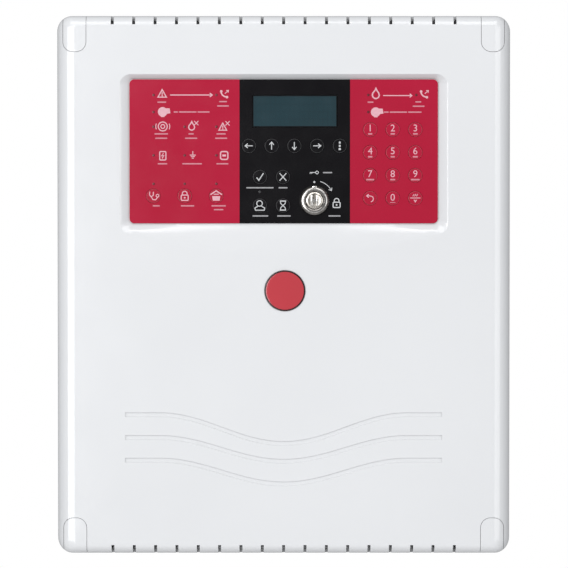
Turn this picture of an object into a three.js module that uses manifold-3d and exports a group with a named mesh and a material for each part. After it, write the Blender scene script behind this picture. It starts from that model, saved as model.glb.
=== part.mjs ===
// Wall-mounted fire alarm control panel: a moulded rear box that holds the main board, power
// supply and two batteries, and a hinged front cover that carries the keypad, display and key switch.
// Millimetres, +Z up. The origin is the centre of the back face, which lies against the wall at
// y = 0, and the front faces -Y. "Front" values are therefore more negative than "rear" ones.
import * as THREE from "three";
import { ConvexGeometry } from "three/addons/geometries/ConvexGeometry.js";
import { mergeVertices } from "three/addons/utils/BufferGeometryUtils.js";
import Module from "manifold-3d";

const wasm = await Module();
wasm.setup();

// ---------------------------------------------------------------- driving dimensions
const WIDTH = 324;
const HEIGHT = 384;
const DEPTH = 108; // back face to front face of the cover
const BOX_DEPTH = 60; // rear box, back face to rim
const WALL = 2.5;
const CORNER_R = 11; // corners of the front view
const SIDE_EDGE_R = 13; // rounding between the front face and the left and right sides
const END_EDGE_R = 7.5; // rounding between the front face and the top and bottom
const FIT = 0.3; // gap between neighbouring pieces
const RIM_GAP = 2; // shadow gap between box and cover

const FRONT = -DEPTH;
const COVER_REAR = -(BOX_DEPTH + RIM_GAP);
const HALF_W = WIDTH / 2;
const HALF_H = HEIGHT / 2;

// hinge on the left of the front view: the cover's rear edge is a bead round the hinge line, the
// box has one knuckle at each height in z, and its left rim is low enough for the cover to swing
const HINGE = { x: -HALF_W + 3, y: -BOX_DEPTH - 0.5, r: 2.9, pinR: 1.2, z: [115, -115] };
const KNUCKLE = { half: 7, clear: 0.3, beadEnd: 178, pinHalf: 18, relief: 4.1 };

// recess of the control fascia, and the fascia in it
const RECESS = { halfW: 117.3, top: 150.5, sideBottom: 38, arcBottom: 20, depth: 4.5 };
const FLOOR = { halfW: 110.4, top: 147.2, bottom: 43.7 };
const FASCIA = { halfW: 110, top: 146.8, bottom: 44.1, cornerR: 3.5, thick: 0.8 };
const CARRIER = { halfW: 105, top: 141, bottom: 49, thick: 2.6 };
const FILM_REAR = FRONT + RECESS.depth - FIT;
const FILM_FRONT = FILM_REAR - FASCIA.thick;
const CARRIER_FRONT = FRONT + RECESS.depth + 0.1;
const CARRIER_REAR = CARRIER_FRONT + CARRIER.thick;

// keypad board behind the fascia
const BOARD_THICK = 1.6;
const KEYPAD_BOARD_FRONT = -94;
const SWITCH_TOP = KEYPAD_BOARD_FRONT - 4.15;
const LED_TOP = CARRIER_REAR - 1.2;

// keys: a disc flush in the film on a stem that reaches the switch behind it
const KEY = { discR: 4.8, stemR: 1.9, holeR: 5.15, stemHoleR: 2.6, proud: 0.4, discThick: 0.9 };
const KEY_PITCH = { x: 16.1, z: 16.3 };
const KEYPAD = { x: 61.7, z: 111 }; // centre of the digit 1 key
const ARROW_ROW = { x: -24.8, z: 99.4, pitch: 16.2 };
const COMMAND_BLOCK = { x: -17, z: [77.2, 56.8], pitch: 16.5 };
const MODE_ROW = { x: -93.1, z: 63.7, pitch: 22.5 };

const DISPLAY = { x: 8, z: 124.1, w: 60.4, h: 22.8 };
const LOCK = { x: 22, z: 60.4, flangeR: 10.9, barrelR: 8.6, rotorR: 6.2, front: -109 };
const EMBLEM = { x: 0.9, z: -3.9, r: 14.5, thick: 1.6, sunk: 0.5 };

// vents along the top and bottom front edges
const VENT = { count: 17, pitch: 15.25, width: 2.1, intoFront: 6.2, alongTop: 30 };

// wave grooves across the lower half
const WAVE = { halfLength: 113, bend: 88, width: 3.8, depth: 0.8 };
const WAVES = [
  { z: -92.5, dip: 20.6 },
  { z: -108.8, dip: 17 },
  { z: -125, dip: 17 },
];

// corner caps and the quarter-turn screws under them
const CAP = { x: 149, width: 16.4, height: 25.6, thick: 2.2, pocket: 12 };
const SCREW = { x: 149, z: 179, headR: 4.4, shankR: 2, headThick: 3 };
const CAP_LEG = { offset: 6.6, thick: 1.2, halfH: 4 };
const SCREW_END = -BOX_DEPTH - 5.2; // just clear of the lip
const TOWER_R = 6;

// inside the rear box
const MAIN_BOARD = { x: [-60, 150], z: [-58, 128], rear: -12 };
const TERMINALS = { x: [-44, 134] };
const BATTERY = { w: 151, h: 94, d: 65, x: 77.2, bottom: -171.2, rear: -3.2 };
const BATTERY_TOP = BATTERY.bottom + BATTERY.h;
const SUPPLY = { x: [-150, -70], z: [-46, 66], front: -50 };
const CABLE_WINDOW = { halfW: 80, z: [146, 174] };
const WALL_HOLES = [
  [-146, 140],
  [146, 140],
  [-146, -68],
  [146, -68],
];

// ---------------------------------------------------------------- solids
function solid(geometry) {
  const bare = new THREE.BufferGeometry();
  const whole = geometry.index ? geometry.toNonIndexed() : geometry;
  bare.setAttribute("position", whole.getAttribute("position"));
  const merged = mergeVertices(bare, 1e-4);
  return new wasm.Manifold(
    new wasm.Mesh({
      numProp: 3,
      vertProperties: merged.attributes.position.array,
      triVerts: new Uint32Array(merged.index.array),
    }),
  );
}

function geometryOf(made) {
  const { vertProperties, triVerts } = made.getMesh();
  const geometry = new THREE.BufferGeometry();
  geometry.setAttribute("position", new THREE.BufferAttribute(vertProperties, 3));
  geometry.setIndex(new THREE.BufferAttribute(triVerts, 1));
  return geometry;
}

const unite = (first, ...rest) => rest.reduce((sum, next) => sum.add(next), first);
const cut = (first, ...rest) => rest.reduce((left, next) => left.subtract(next), first);

function box([x0, x1], [y0, y1], [z0, z1]) {
  const made = new THREE.BoxGeometry(Math.abs(x1 - x0), Math.abs(y1 - y0), Math.abs(z1 - z0));
  made.translate((x0 + x1) / 2, (y0 + y1) / 2, (z0 + z1) / 2);
  return solid(made);
}

// a cylinder along Y, from y0 to y1, round the point (x, z)
function rod(x, z, r, y0, y1, sides = 24) {
  const made = new THREE.CylinderGeometry(r, r, Math.abs(y1 - y0), sides);
  made.translate(x, (y0 + y1) / 2, z);
  return solid(made);
}

// a cylinder along Z, from z0 to z1, round the point (x, y)
function post(x, y, r, z0, z1, sides = 24) {
  const made = new THREE.CylinderGeometry(r, r, Math.abs(z1 - z0), sides);
  made.rotateX(Math.PI / 2);
  made.translate(x, y, (z0 + z1) / 2);
  return solid(made);
}

// a front-view outline, drawn in x and z, made solid from y = rear to y = front
function plate(shape, rear, front, curveSegments = 4) {
  const made = new THREE.ExtrudeGeometry(shape, {
    depth: rear - front,
    bevelEnabled: false,
    curveSegments,
  });
  made.rotateX(Math.PI / 2);
  made.translate(0, rear, 0);
  return solid(made);
}

// a side-view outline, drawn in y and z, made solid from x0 to x1
function profileAlongX(shape, x0, x1, curveSegments = 6) {
  const made = new THREE.ExtrudeGeometry(shape, {
    depth: x1 - x0,
    bevelEnabled: false,
    curveSegments,
  });
  const [ex, ey, ez] = [0, 1, 2].map((i) => new THREE.Vector3().setComponent(i, 1));
  made.applyMatrix4(new THREE.Matrix4().makeBasis(ey, ez, ex));
  made.translate(x0, 0, 0);
  return solid(made);
}

function lathe(points, x, z, sides = 24) {
  const profile = points.map(([r, y]) => new THREE.Vector2(r, y));
  const made = new THREE.LatheGeometry(profile, sides);
  made.translate(x, 0, z);
  return solid(made);
}

function roundedRect(x0, x1, z0, z1, r) {
  const s = new THREE.Shape();
  s.moveTo(x0 + r, z0);
  s.lineTo(x1 - r, z0);
  s.absarc(x1 - r, z0 + r, r, -Math.PI / 2, 0);
  s.lineTo(x1, z1 - r);
  s.absarc(x1 - r, z1 - r, r, 0, Math.PI / 2);
  s.lineTo(x0 + r, z1);
  s.absarc(x0 + r, z1 - r, r, Math.PI / 2, Math.PI);
  s.lineTo(x0, z0 + r);
  s.absarc(x0 + r, z0 + r, r, Math.PI, 1.5 * Math.PI);
  return s;
}

const panelOutline = (inset) =>
  roundedRect(-HALF_W + inset, HALF_W - inset, -HALF_H + inset, HALF_H - inset, CORNER_R - inset);

function polygon(points) {
  return new THREE.Shape(points.map(([a, b]) => new THREE.Vector2(a, b)));
}

// a round or flat section swept along a smooth curve through points
function sweep(points, section, steps) {
  const path = new THREE.CatmullRomCurve3(points.map((p) => new THREE.Vector3(...p)));
  const options = { steps, bevelEnabled: false, extrudePath: path };
  return solid(new THREE.ExtrudeGeometry(section, options));
}

function roundSection(r, sides = 8) {
  const points = [];
  for (let i = 0; i < sides; i++) {
    const turn = (2 * Math.PI * i) / sides;
    points.push([r * Math.cos(turn), r * Math.sin(turn)]);
  }
  return polygon(points);
}

// ---------------------------------------------------------------- the exported group
const panel = new THREE.Group();
const LOOKS = {
  white: { color: 0xe9ebed, roughness: 0.25, metalness: 0 },
  red: { color: 0xb3263c, roughness: 0.35, metalness: 0 },
  black: { color: 0x17171c, roughness: 0.35, metalness: 0 },
  glass: { color: 0x234048, roughness: 0.1, metalness: 0 },
  steel: { color: 0xb9bbbd, roughness: 0.35, metalness: 1 },
  board: { color: 0x1f5b3a, roughness: 0.5, metalness: 0 },
  green: { color: 0x2f7d4a, roughness: 0.5, metalness: 0 },
  dark: { color: 0x2b2c30, roughness: 0.6, metalness: 0 },
  grey: { color: 0x8a8c8e, roughness: 0.6, metalness: 0 },
};

function addPiece(name, made, look) {
  const mesh = new THREE.Mesh(geometryOf(made), new THREE.MeshStandardMaterial(LOOKS[look]));
  mesh.name = name;
  panel.add(mesh);
}

// ---------------------------------------------------------------- where the keys and lamps are
const DIGITS = ["1", "2", "3", "4", "5", "6", "7", "8", "9", "back", "0", "enter"];
const keys = [
  ...DIGITS.map((name, i) => ({
    name: `key_${name}`,
    x: KEYPAD.x + (i % 3) * KEY_PITCH.x,
    z: KEYPAD.z - Math.floor(i / 3) * KEY_PITCH.z,
    look: "red",
  })),
  ...["left", "up", "down", "right", "menu"].map((name, i) => ({
    name: `key_${name}`,
    x: ARROW_ROW.x + i * ARROW_ROW.pitch,
    z: ARROW_ROW.z,
    look: "black",
  })),
  ...["accept", "cancel", "attend", "delay"].map((name, i) => ({
    name: `key_${name}`,
    x: COMMAND_BLOCK.x + (i % 2) * COMMAND_BLOCK.pitch,
    z: COMMAND_BLOCK.z[Math.floor(i / 2)],
    look: "black",
  })),
  ...["test", "disable", "sounder"].map((name, i) => ({
    name: `key_${name}`,
    x: MODE_ROW.x + i * MODE_ROW.pitch,
    z: MODE_ROW.z,
    look: "red",
  })),
];

// indicator lamps: columns and heights of the warning block, the fire block, and one over attend
const WARNING_X = [-92.7, -70.5, -47.9];
const FIRE_X = [60.4, 94.6];
const LINE_Z = [135.6, 123.5]; // the two uppermost rows
const lamps = [
  [WARNING_X[0], LINE_Z[0]],
  [WARNING_X[2], LINE_Z[0]],
  [WARNING_X[0], LINE_Z[1]],
  ...[113, 92.6, 72.3].flatMap((z) => WARNING_X.map((x) => [x, z])),
  [FIRE_X[0], LINE_Z[0]],
  [FIRE_X[1], LINE_Z[0]],
  [FIRE_X[0], LINE_Z[1]],
  [-17, 66.6],
];

// ---------------------------------------------------------------- front cover
// The cover's outer form, moved inwards by inset: where the front, top and side views all agree.
function coverForm(inset, rear, coarse = 0) {
  const front = FRONT + inset;
  const halfW = HALF_W - inset;
  const halfH = HALF_H - inset;
  const arch = (half, r) => {
    const s = new THREE.Shape();
    s.moveTo(-half, rear);
    s.lineTo(-half, front + r);
    s.absarc(-half + r, front + r, r, Math.PI, 1.5 * Math.PI);
    s.lineTo(half - r, front);
    s.absarc(half - r, front + r, r, 1.5 * Math.PI, 2 * Math.PI);
    s.lineTo(half, rear);
    return s;
  };
  const topView = new THREE.ExtrudeGeometry(arch(halfW, SIDE_EDGE_R - inset), {
    depth: HEIGHT,
    bevelEnabled: false,
    curveSegments: 4 - coarse,
  });
  topView.translate(0, 0, -HALF_H);
  const sideView = new THREE.ExtrudeGeometry(arch(halfH, END_EDGE_R - inset), {
    depth: WIDTH,
    bevelEnabled: false,
    curveSegments: 3 - coarse,
  });
  // drawn as (z, y) and turned so that z is up and the extrusion runs along x
  sideView.applyMatrix4(
    new THREE.Matrix4().makeBasis(
      new THREE.Vector3(0, 0, 1),
      new THREE.Vector3(0, 1, 0),
      new THREE.Vector3(-1, 0, 0),
    ),
  );
  sideView.translate(HALF_W, 0, 0);
  const frontView = plate(panelOutline(inset), rear, front);
  return frontView.intersect(solid(topView)).intersect(solid(sideView));
}

// the recess with its sloped sides and the scoop below, which ends in an arc on the front face
function recessForm() {
  const overshoot = 0.5; // past the front face, with the slopes carried on
  const grow = 1 + overshoot / RECESS.depth;
  const sagitta = RECESS.sideBottom - RECESS.arcBottom;
  const midZ = (FLOOR.top + FLOOR.bottom) / 2;
  const points = [];
  const carryOn = (floor, rim) => floor + (rim - floor) * grow;
  for (const sx of [-1, 1]) {
    const rimX = carryOn(FLOOR.halfW, RECESS.halfW);
    points.push(new THREE.Vector3(sx * FLOOR.halfW, FRONT + RECESS.depth, FLOOR.top));
    points.push(new THREE.Vector3(sx * FLOOR.halfW, FRONT + RECESS.depth, FLOOR.bottom));
    points.push(new THREE.Vector3(sx * rimX, FRONT - overshoot, carryOn(FLOOR.top, RECESS.top)));
    points.push(new THREE.Vector3(sx * rimX, FRONT - overshoot, midZ));
  }
  const steps = 10;
  for (let i = 0; i <= steps; i++) {
    const share = (2 * i) / steps - 1;
    const rimZ = RECESS.sideBottom - sagitta * (1 - share * share);
    const x = share * carryOn(FLOOR.halfW, RECESS.halfW);
    points.push(new THREE.Vector3(x, FRONT - overshoot, carryOn(FLOOR.bottom, rimZ)));
  }
  return solid(new ConvexGeometry(points));
}

// level, then down to the middle along half a cosine, as a band of constant height
function waveForm({ z, dip }) {
  const line = [];
  const steps = 16;
  const heightAt = (x) => z - (dip * (1 + Math.cos((Math.PI * x) / WAVE.bend))) / 2;
  line.push([-WAVE.halfLength, z]);
  for (let i = 0; i <= steps; i++) {
    const x = -WAVE.bend + (2 * WAVE.bend * i) / steps;
    line.push([x, heightAt(x)]);
  }
  line.push([WAVE.halfLength, z]);
  const lower = line.map(([x, h]) => [x, h - WAVE.width / 2]);
  const upper = line.map(([x, h]) => [x, h + WAVE.width / 2]).reverse();
  return plate(polygon([...lower, ...upper]), FRONT + WAVE.depth, FRONT - 1);
}

// the slot for a corner cap: open at the top or bottom edge, with a round inner end
function capOutline(sx, sz, grow) {
  const half = CAP.width / 2 + grow;
  const endZ = HALF_H - CAP.height - grow;
  const s = new THREE.Shape();
  const x = sx * CAP.x;
  const r = half - 1.2;
  const z = (h) => sz * h;
  const corner = (cx, from, to) => {
    for (let i = 0; i <= 3; i++) {
      const a = from + ((to - from) * i) / 3;
      s.lineTo(cx + r * Math.cos(a), z(endZ + r - r * Math.sin(a)));
    }
  };
  s.moveTo(x - half, z(HALF_H + 2));
  corner(x - half + r, Math.PI, Math.PI / 2);
  corner(x + half - r, Math.PI / 2, 0);
  s.lineTo(x + half, z(HALF_H + 2));
  return s;
}

function ventSlots(sz, front) {
  const edge = sz * HALF_H;
  return Array.from({ length: VENT.count }, (_, i) => {
    const x = (i - (VENT.count - 1) / 2) * VENT.pitch;
    return box(
      [x - VENT.width / 2, x + VENT.width / 2],
      [front - 1, front + VENT.alongTop],
      [edge - sz * VENT.intoFront, edge + sz * 2],
    );
  });
}

const CORNERS = [
  ["upper_left", -1, 1],
  ["upper_right", 1, 1],
  ["lower_left", -1, -1],
  ["lower_right", 1, -1],
];
const outerForm = coverForm(0, COVER_REAR);
const POCKET_FLOOR = FRONT + CAP.pocket;
const BOSS_FLOOR = POCKET_FLOOR + WALL;

function frontCover() {
  const shell = cut(outerForm, coverForm(WALL, COVER_REAR + 1, 2));
  // backing of the recess, and a walled pocket with a screw boss under each corner cap
  const panBack = FRONT + RECESS.depth + CARRIER.thick + 0.1;
  const pan = box([-HALF_W + 42, HALF_W - 42], [FRONT + 1, panBack], [15, 154]);
  const pockets = CORNERS.map(([, sx, sz]) => {
    return plate(capOutline(sx, sz, WALL), BOSS_FLOOR, FRONT + 1);
  });
  const bosses = CORNERS.map(([, sx, sz]) => {
    return rod(sx * SCREW.x, sz * SCREW.z, TOWER_R, COVER_REAR, BOSS_FLOOR, 16);
  });
  const standoffs = boardScrews.map(([x, z]) =>
    rod(x, z, 3.2, panBack - 0.5, KEYPAD_BOARD_FRONT - FIT, 8),
  );
  let made = unite(shell, pan, ...pockets, ...bosses, ...standoffs).intersect(outerForm);
  made = cut(made, recessForm());
  const carrierWindow = [CARRIER.bottom, CARRIER.top];
  made = cut(made, box([-CARRIER.halfW, CARRIER.halfW], [FRONT, panBack + 1], carrierWindow));
  for (const [, sx, sz] of CORNERS) {
    made = cut(made, plate(capOutline(sx, sz, FIT), POCKET_FLOOR, FRONT - 1));
    made = cut(made, rod(sx * SCREW.x, sz * SCREW.z, SCREW.shankR + FIT, COVER_REAR + 1, FRONT, 12));
  }
  made = cut(made, ...ventSlots(1, FRONT), ...ventSlots(-1, FRONT), ...WAVES.map(waveForm));
  made = cut(made, rod(EMBLEM.x, EMBLEM.z, EMBLEM.r + FIT, FRONT + EMBLEM.sunk, FRONT - 1, 24));
  // the bead of the hinge, with a gap and a notch for each knuckle of the box
  made = unite(
    made,
    post(HINGE.x, HINGE.y, HINGE.r, -KNUCKLE.beadEnd, KNUCKLE.beadEnd, 16),
    box([HINGE.x - HINGE.r, HINGE.x - 0.6], [HINGE.y, COVER_REAR - 3], [-KNUCKLE.beadEnd, KNUCKLE.beadEnd]),
  );
  for (const z of HINGE.z) {
    const gap = KNUCKLE.half + KNUCKLE.clear;
    const reach = KNUCKLE.relief;
    made = cut(
      made,
      box([HINGE.x - reach, HINGE.x + reach], [HINGE.y + reach, HINGE.y - reach], [z - gap, z + gap]),
      hingeBore(z),
    );
  }
  return made;
}

const hingeBore = (z) =>
  post(HINGE.x, HINGE.y, HINGE.pinR + 0.2, z - KNUCKLE.pinHalf - 1, z + KNUCKLE.pinHalf + 1, 12);

// ---------------------------------------------------------------- rear box
function rearBox() {
  const back = plate(panelOutline(0), 0, -BOX_DEPTH);
  let made = cut(back, plate(panelOutline(WALL), -WALL, -BOX_DEPTH - 1));
  // lip inside the cover's walls on the three sides away from the hinge
  const lip = cut(
    plate(panelOutline(WALL + 0.5), -50, -BOX_DEPTH - 4.5),
    plate(panelOutline(WALL + 1.8), -49, -BOX_DEPTH - 5),
    box([-HALF_W, -HALF_W + 14], [-49, -BOX_DEPTH - 6], [-HALF_H, HALF_H]),
  );
  const ledge = cut(
    plate(panelOutline(WALL - 0.2), -50, -BOX_DEPTH + 1),
    plate(panelOutline(WALL + 1.8), -49, -BOX_DEPTH),
    box([-HALF_W, -HALF_W + 14], [-49, -BOX_DEPTH], [-HALF_H, HALF_H]),
  );
  const towers = CORNERS.map(([, sx, sz]) =>
    rod(sx * SCREW.x, sz * SCREW.z, TOWER_R, -1, -BOX_DEPTH + 0.5, 16),
  );
  const standoffs = mainBoardScrews.map(([x, z]) => rod(x, z, 3.5, -1, MAIN_BOARD.rear + FIT, 8));
  const shelf = box([-140, 140], [-1, -50], [BATTERY.bottom - 2.8, BATTERY.bottom - FIT]);
  const divider = box([-1.2, 1.2], [-1, -40], [BATTERY.bottom - 1, BATTERY.bottom + 50]);
  const stops = [-1, 1].map((sx) => box([sx * 30, sx * 34], [-1, -12], [BATTERY_TOP + 0.5, -70]));
  made = unite(made, lip, ledge, ...towers, ...standoffs, shelf, divider, ...stops);
  for (const [, sx, sz] of CORNERS) {
    made = cut(made, rod(sx * SCREW.x, sz * SCREW.z, 2.2, -42, -BOX_DEPTH, 12));
  }
  // a cove and a lowered left rim for the turning cover, then the box's own knuckles
  made = cut(
    made,
    post(HINGE.x, HINGE.y, HINGE.r + 0.4, -HALF_H - 1, HALF_H + 1, 16),
    box([-HALF_W - 1, HINGE.x + 0.8], [HINGE.y - 6, HINGE.y + KNUCKLE.relief], [-HALF_H - 1, HALF_H + 1]),
  );
  for (const z of HINGE.z) {
    const span = [z - KNUCKLE.half, z + KNUCKLE.half];
    made = unite(
      made,
      post(HINGE.x, HINGE.y, HINGE.r, ...span, 16),
      box([HINGE.x - HINGE.r, HINGE.x - 0.6], [HINGE.y, HINGE.y + 6], span),
    );
    made = cut(made, hingeBore(z));
  }
  const windowHole = roundedRect(-CABLE_WINDOW.halfW, CABLE_WINDOW.halfW, ...CABLE_WINDOW.z, 4);
  made = cut(made, plate(windowHole, 1, -WALL - 1, 4));
  made = cut(made, ...WALL_HOLES.map(([x, z]) => rod(x, z, 2.7, 1, -WALL - 1, 10)));
  return cut(made, ...knockOuts());
}

// rings of thin wall on the top and back, to be knocked out for cable glands
function knockOuts() {
  const ringDepth = 1.2;
  const [outerR, innerR, sides] = [10.5, 9.3, 12];
  const onBack = (x) =>
    cut(rod(x, 150, outerR, 1, -ringDepth, sides), rod(x, 150, innerR, 2, -ringDepth - 1, sides));
  const onTop = (x) =>
    cut(
      post(x, -28, outerR, HALF_H - ringDepth, HALF_H + 1, sides),
      post(x, -28, innerR, HALF_H - ringDepth - 1, HALF_H + 2, sides),
    );
  return [...[-115, 115].map(onBack), ...[-60, 60].map(onTop)];
}

// ---------------------------------------------------------------- fascia and keypad
const boardScrews = [
  [-100, 147.5],
  [100, 147.5],
  [-100, 38],
  [100, 38],
];
const mainBoardScrews = [
  [-54, 122],
  [144, 122],
  [-54, -52],
  [144, -52],
];

const keyHoles = (r, rear, front, sides) => keys.map(({ x, z }) => rod(x, z, r, rear, front, sides));
const displayHole = (grow, rear, front) =>
  box(
    [DISPLAY.x - DISPLAY.w / 2 - grow, DISPLAY.x + DISPLAY.w / 2 + grow],
    [rear, front],
    [DISPLAY.z - DISPLAY.h / 2 - grow, DISPLAY.z + DISPLAY.h / 2 + grow],
  );

function fasciaFilm() {
  const outline = roundedRect(-FASCIA.halfW, FASCIA.halfW, FASCIA.bottom, FASCIA.top, FASCIA.cornerR);
  return cut(
    plate(outline, FILM_REAR, FILM_FRONT, 4),
    ...keyHoles(KEY.holeR, FILM_REAR + 1, FILM_FRONT - 1, 10),
    displayHole(FIT, FILM_REAR + 1, FILM_FRONT - 1),
    rod(LOCK.x, LOCK.z, LOCK.barrelR + FIT, FILM_REAR + 1, FILM_FRONT - 1, 20),
  );
}

function keypadCarrier() {
  const [rear, front] = [CARRIER_REAR, CARRIER_FRONT];
  const halfW = CARRIER.halfW - FIT;
  return cut(
    box([-halfW, halfW], [rear, front], [CARRIER.bottom + FIT, CARRIER.top - FIT]),
    ...keyHoles(KEY.stemHoleR, rear + 1, front - 1, 6),
    ...lamps.map(([x, z]) => rod(x, z, 1.9, rear + 1, front - 1, 6)),
    displayHole(1, rear + 1, front - 1),
    rod(LOCK.x, LOCK.z, LOCK.barrelR + FIT, rear + 1, front - 1, 20),
  );
}

function keypadBoard() {
  const rear = KEYPAD_BOARD_FRONT + BOARD_THICK;
  const bare = box([-106, 106], [rear, KEYPAD_BOARD_FRONT], [34.5, 151]);
  const switches = keys.flatMap(({ x, z }) => [
    box([x - 3, x + 3], [KEYPAD_BOARD_FRONT + 0.5, SWITCH_TOP + 0.9], [z - 3, z + 3]),
    rod(x, z, 1.6, KEYPAD_BOARD_FRONT, SWITCH_TOP, 6),
  ]);
  const diodes = lamps.map(([x, z]) => rod(x, z, 1.4, KEYPAD_BOARD_FRONT + 0.5, LED_TOP, 6));
  const header = box([-104, -100], [rear - 0.5, rear + 8], [70, 110]);
  return cut(
    unite(bare, ...switches, ...diodes, header),
    rod(LOCK.x, LOCK.z, 13, rear + 1, KEYPAD_BOARD_FRONT - 1, 20),
  );
}

function keyDisc({ x, z }) {
  const front = FILM_FRONT - KEY.proud;
  const rearOfDisc = front + KEY.discThick;
  const stemEnd = SWITCH_TOP - 0.55;
  return lathe(
    [
      [0, stemEnd],
      [KEY.stemR, stemEnd],
      [KEY.stemR, rearOfDisc],
      [KEY.discR, rearOfDisc],
      [KEY.discR, front],
      [0, front],
    ].reverse(),
    x,
    z,
    10,
  );
}

function displayModule() {
  const { x, z, w, h } = DISPLAY;
  const boardRear = KEYPAD_BOARD_FRONT - FIT;
  const boardFront = boardRear - BOARD_THICK;
  const carrierBoard = box([x - 42, x + 42], [boardRear, boardFront], [z - 17.6, z + 17.6]);
  const frame = box([x - 36, x + 36], [boardFront + 0.4, CARRIER_REAR + 0.4], [z - 13.4, z + 13.4]);
  const view = box([x - w / 2, x + w / 2], [CARRIER_REAR, CARRIER_REAR + 1], [z - h / 2, z + h / 2]);
  return cut(unite(carrierBoard, frame), view);
}

const displayWindow = () =>
  box(
    [DISPLAY.x - DISPLAY.w / 2, DISPLAY.x + DISPLAY.w / 2],
    [FILM_REAR, FILM_FRONT],
    [DISPLAY.z - DISPLAY.h / 2, DISPLAY.z + DISPLAY.h / 2],
  );

// ---------------------------------------------------------------- key switch
const FLANGE_REAR = FILM_FRONT - FIT;
const BARREL_REAR = -80;

function lockBody() {
  const { x, z, flangeR, barrelR, rotorR, front } = LOCK;
  const outside = lathe(
    [
      [0, BARREL_REAR],
      [barrelR, BARREL_REAR],
      [barrelR, FLANGE_REAR],
      [flangeR, FLANGE_REAR],
      [flangeR, FLANGE_REAR - 1.4],
      [flangeR - 1.8, front],
      [0, front],
    ].reverse(),
    x,
    z,
    20,
  );
  return cut(outside, rod(x, z, rotorR + FIT, BARREL_REAR + 1, front - 1, 20));
}

function lockRotor() {
  const { x, z, rotorR, front } = LOCK;
  const plug = rod(x, z, rotorR, BARREL_REAR - 2, front + 0.4, 20);
  const tail = rod(x, z, 3, BARREL_REAR + 4, BARREL_REAR - 2.5, 12);
  const keyway = box([x - 1, x + 1], [front - 1, front + 9], [z - 1.4, z + 5]);
  const centre = rod(x, z, 2.2, front - 1, front + 2.4, 12);
  return cut(unite(plug, tail), keyway, centre);
}

function lockNut() {
  const { x, z, barrelR } = LOCK;
  const hexagon = rod(x, z, 12.2, CARRIER_REAR + 4, CARRIER_REAR + FIT, 6);
  return cut(hexagon, rod(x, z, barrelR + FIT, CARRIER_REAR + 5, CARRIER_REAR - 1, 20));
}

function lockContacts() {
  const { x, z } = LOCK;
  const [near, far] = [BARREL_REAR + 0.3, BARREL_REAR + 9];
  return cut(
    box([x - 9, x + 9], [far, near], [z - 9, z + 9]),
    rod(x, z, 3.4, near - 1, near + 4.5, 12),
  );
}

// a disc glued in a shallow seat in the middle of the cover
function emblem() {
  const rear = FRONT + EMBLEM.sunk - 0.2;
  return rod(EMBLEM.x, EMBLEM.z, EMBLEM.r, rear, FRONT + EMBLEM.sunk - EMBLEM.thick, 24);
}

// ---------------------------------------------------------------- caps and screws
// a skin that carries on the cover's surface, with a clip leg on each side of the screw
function cornerCap(sx, sz) {
  const whole = plate(capOutline(sx, sz, 0), POCKET_FLOOR - 1, FRONT - 1);
  const skin = cut(outerForm, coverForm(CAP.thick, COVER_REAR + 1, 2)).intersect(whole);
  const legs = [-1, 1].map((side) => {
    const x = sx * SCREW.x + side * CAP_LEG.offset;
    return box(
      [x - CAP_LEG.thick / 2, x + CAP_LEG.thick / 2],
      [POCKET_FLOOR - 0.5, FRONT + 1.5],
      [sz * SCREW.z - CAP_LEG.halfH, sz * SCREW.z + CAP_LEG.halfH],
    );
  });
  return unite(skin, ...legs.map((leg) => leg.intersect(outerForm)));
}

function coverScrew(sx, sz) {
  const [x, z] = [sx * SCREW.x, sz * SCREW.z];
  const headRear = POCKET_FLOOR - FIT;
  const made = unite(
    rod(x, z, SCREW.headR, headRear, headRear - SCREW.headThick, 12),
    rod(x, z, SCREW.shankR, SCREW_END, headRear - 1, 8),
  );
  const slotFloor = headRear - SCREW.headThick + 1.4;
  return cut(made, box([x - 3.4, x + 3.4], [slotFloor, slotFloor - 3], [z - 0.6, z + 0.6]));
}

// ---------------------------------------------------------------- inside the rear box
function mainBoard() {
  const [x0, x1] = MAIN_BOARD.x;
  const [z0, z1] = MAIN_BOARD.z;
  const front = MAIN_BOARD.rear - BOARD_THICK;
  const bare = box(MAIN_BOARD.x, [MAIN_BOARD.rear, front], MAIN_BOARD.z);
  const controller = box([40, 64], [front + 0.5, front - 2.2], [20, 44]);
  const relays = [0, 1, 2, 3].map((i) => {
    const bottom = z0 + 34 + 26 * i;
    return box([x1 - 30, x1 - 14], [front + 0.5, front - 16], [bottom, bottom + 20]);
  });
  const bulk = [-20, 4].map((x) => rod(x, z1 - 40, 8, front + 0.5, front - 24, 16));
  const header = box([x0 + 5, x0 + 14], [front + 0.5, front - 9], [70, 110]);
  return unite(bare, controller, ...relays, ...bulk, header);
}

// one way of a terminal row: pitch, and heights from the row's inner edge to the wire side
const WAY = { pitch: 7.62, floor: 5, reach: 11 };
const mouthX = (x0, i) => x0 + WAY.pitch * (i + 0.5);

// a row of screw terminals: stepped section, deep at the board and stepped down to the wire side
function terminalRow(x0, x1, zEdge, up) {
  const front = MAIN_BOARD.rear - BOARD_THICK - FIT;
  const z = (h) => zEdge + up * h;
  const section = [
    [front, z(0)],
    [front, z(WAY.reach)],
    [front - 8, z(WAY.reach)],
    [front - 9.5, z(9)],
    [front - 15, z(8)],
    [front - 15, z(3)],
    [front - 8, z(0)],
  ];
  const made = profileAlongX(polygon(up < 0 ? section.reverse() : section), x0, x1);
  const count = Math.floor((x1 - x0) / WAY.pitch);
  const mouths = Array.from({ length: count }, (_, i) => {
    const x = mouthX(x0, i);
    return box([x - 1.9, x + 1.9], [front - 1.6, front - 6], [z(WAY.floor), z(WAY.reach + 1)]);
  });
  return cut(made, ...mouths);
}

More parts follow.
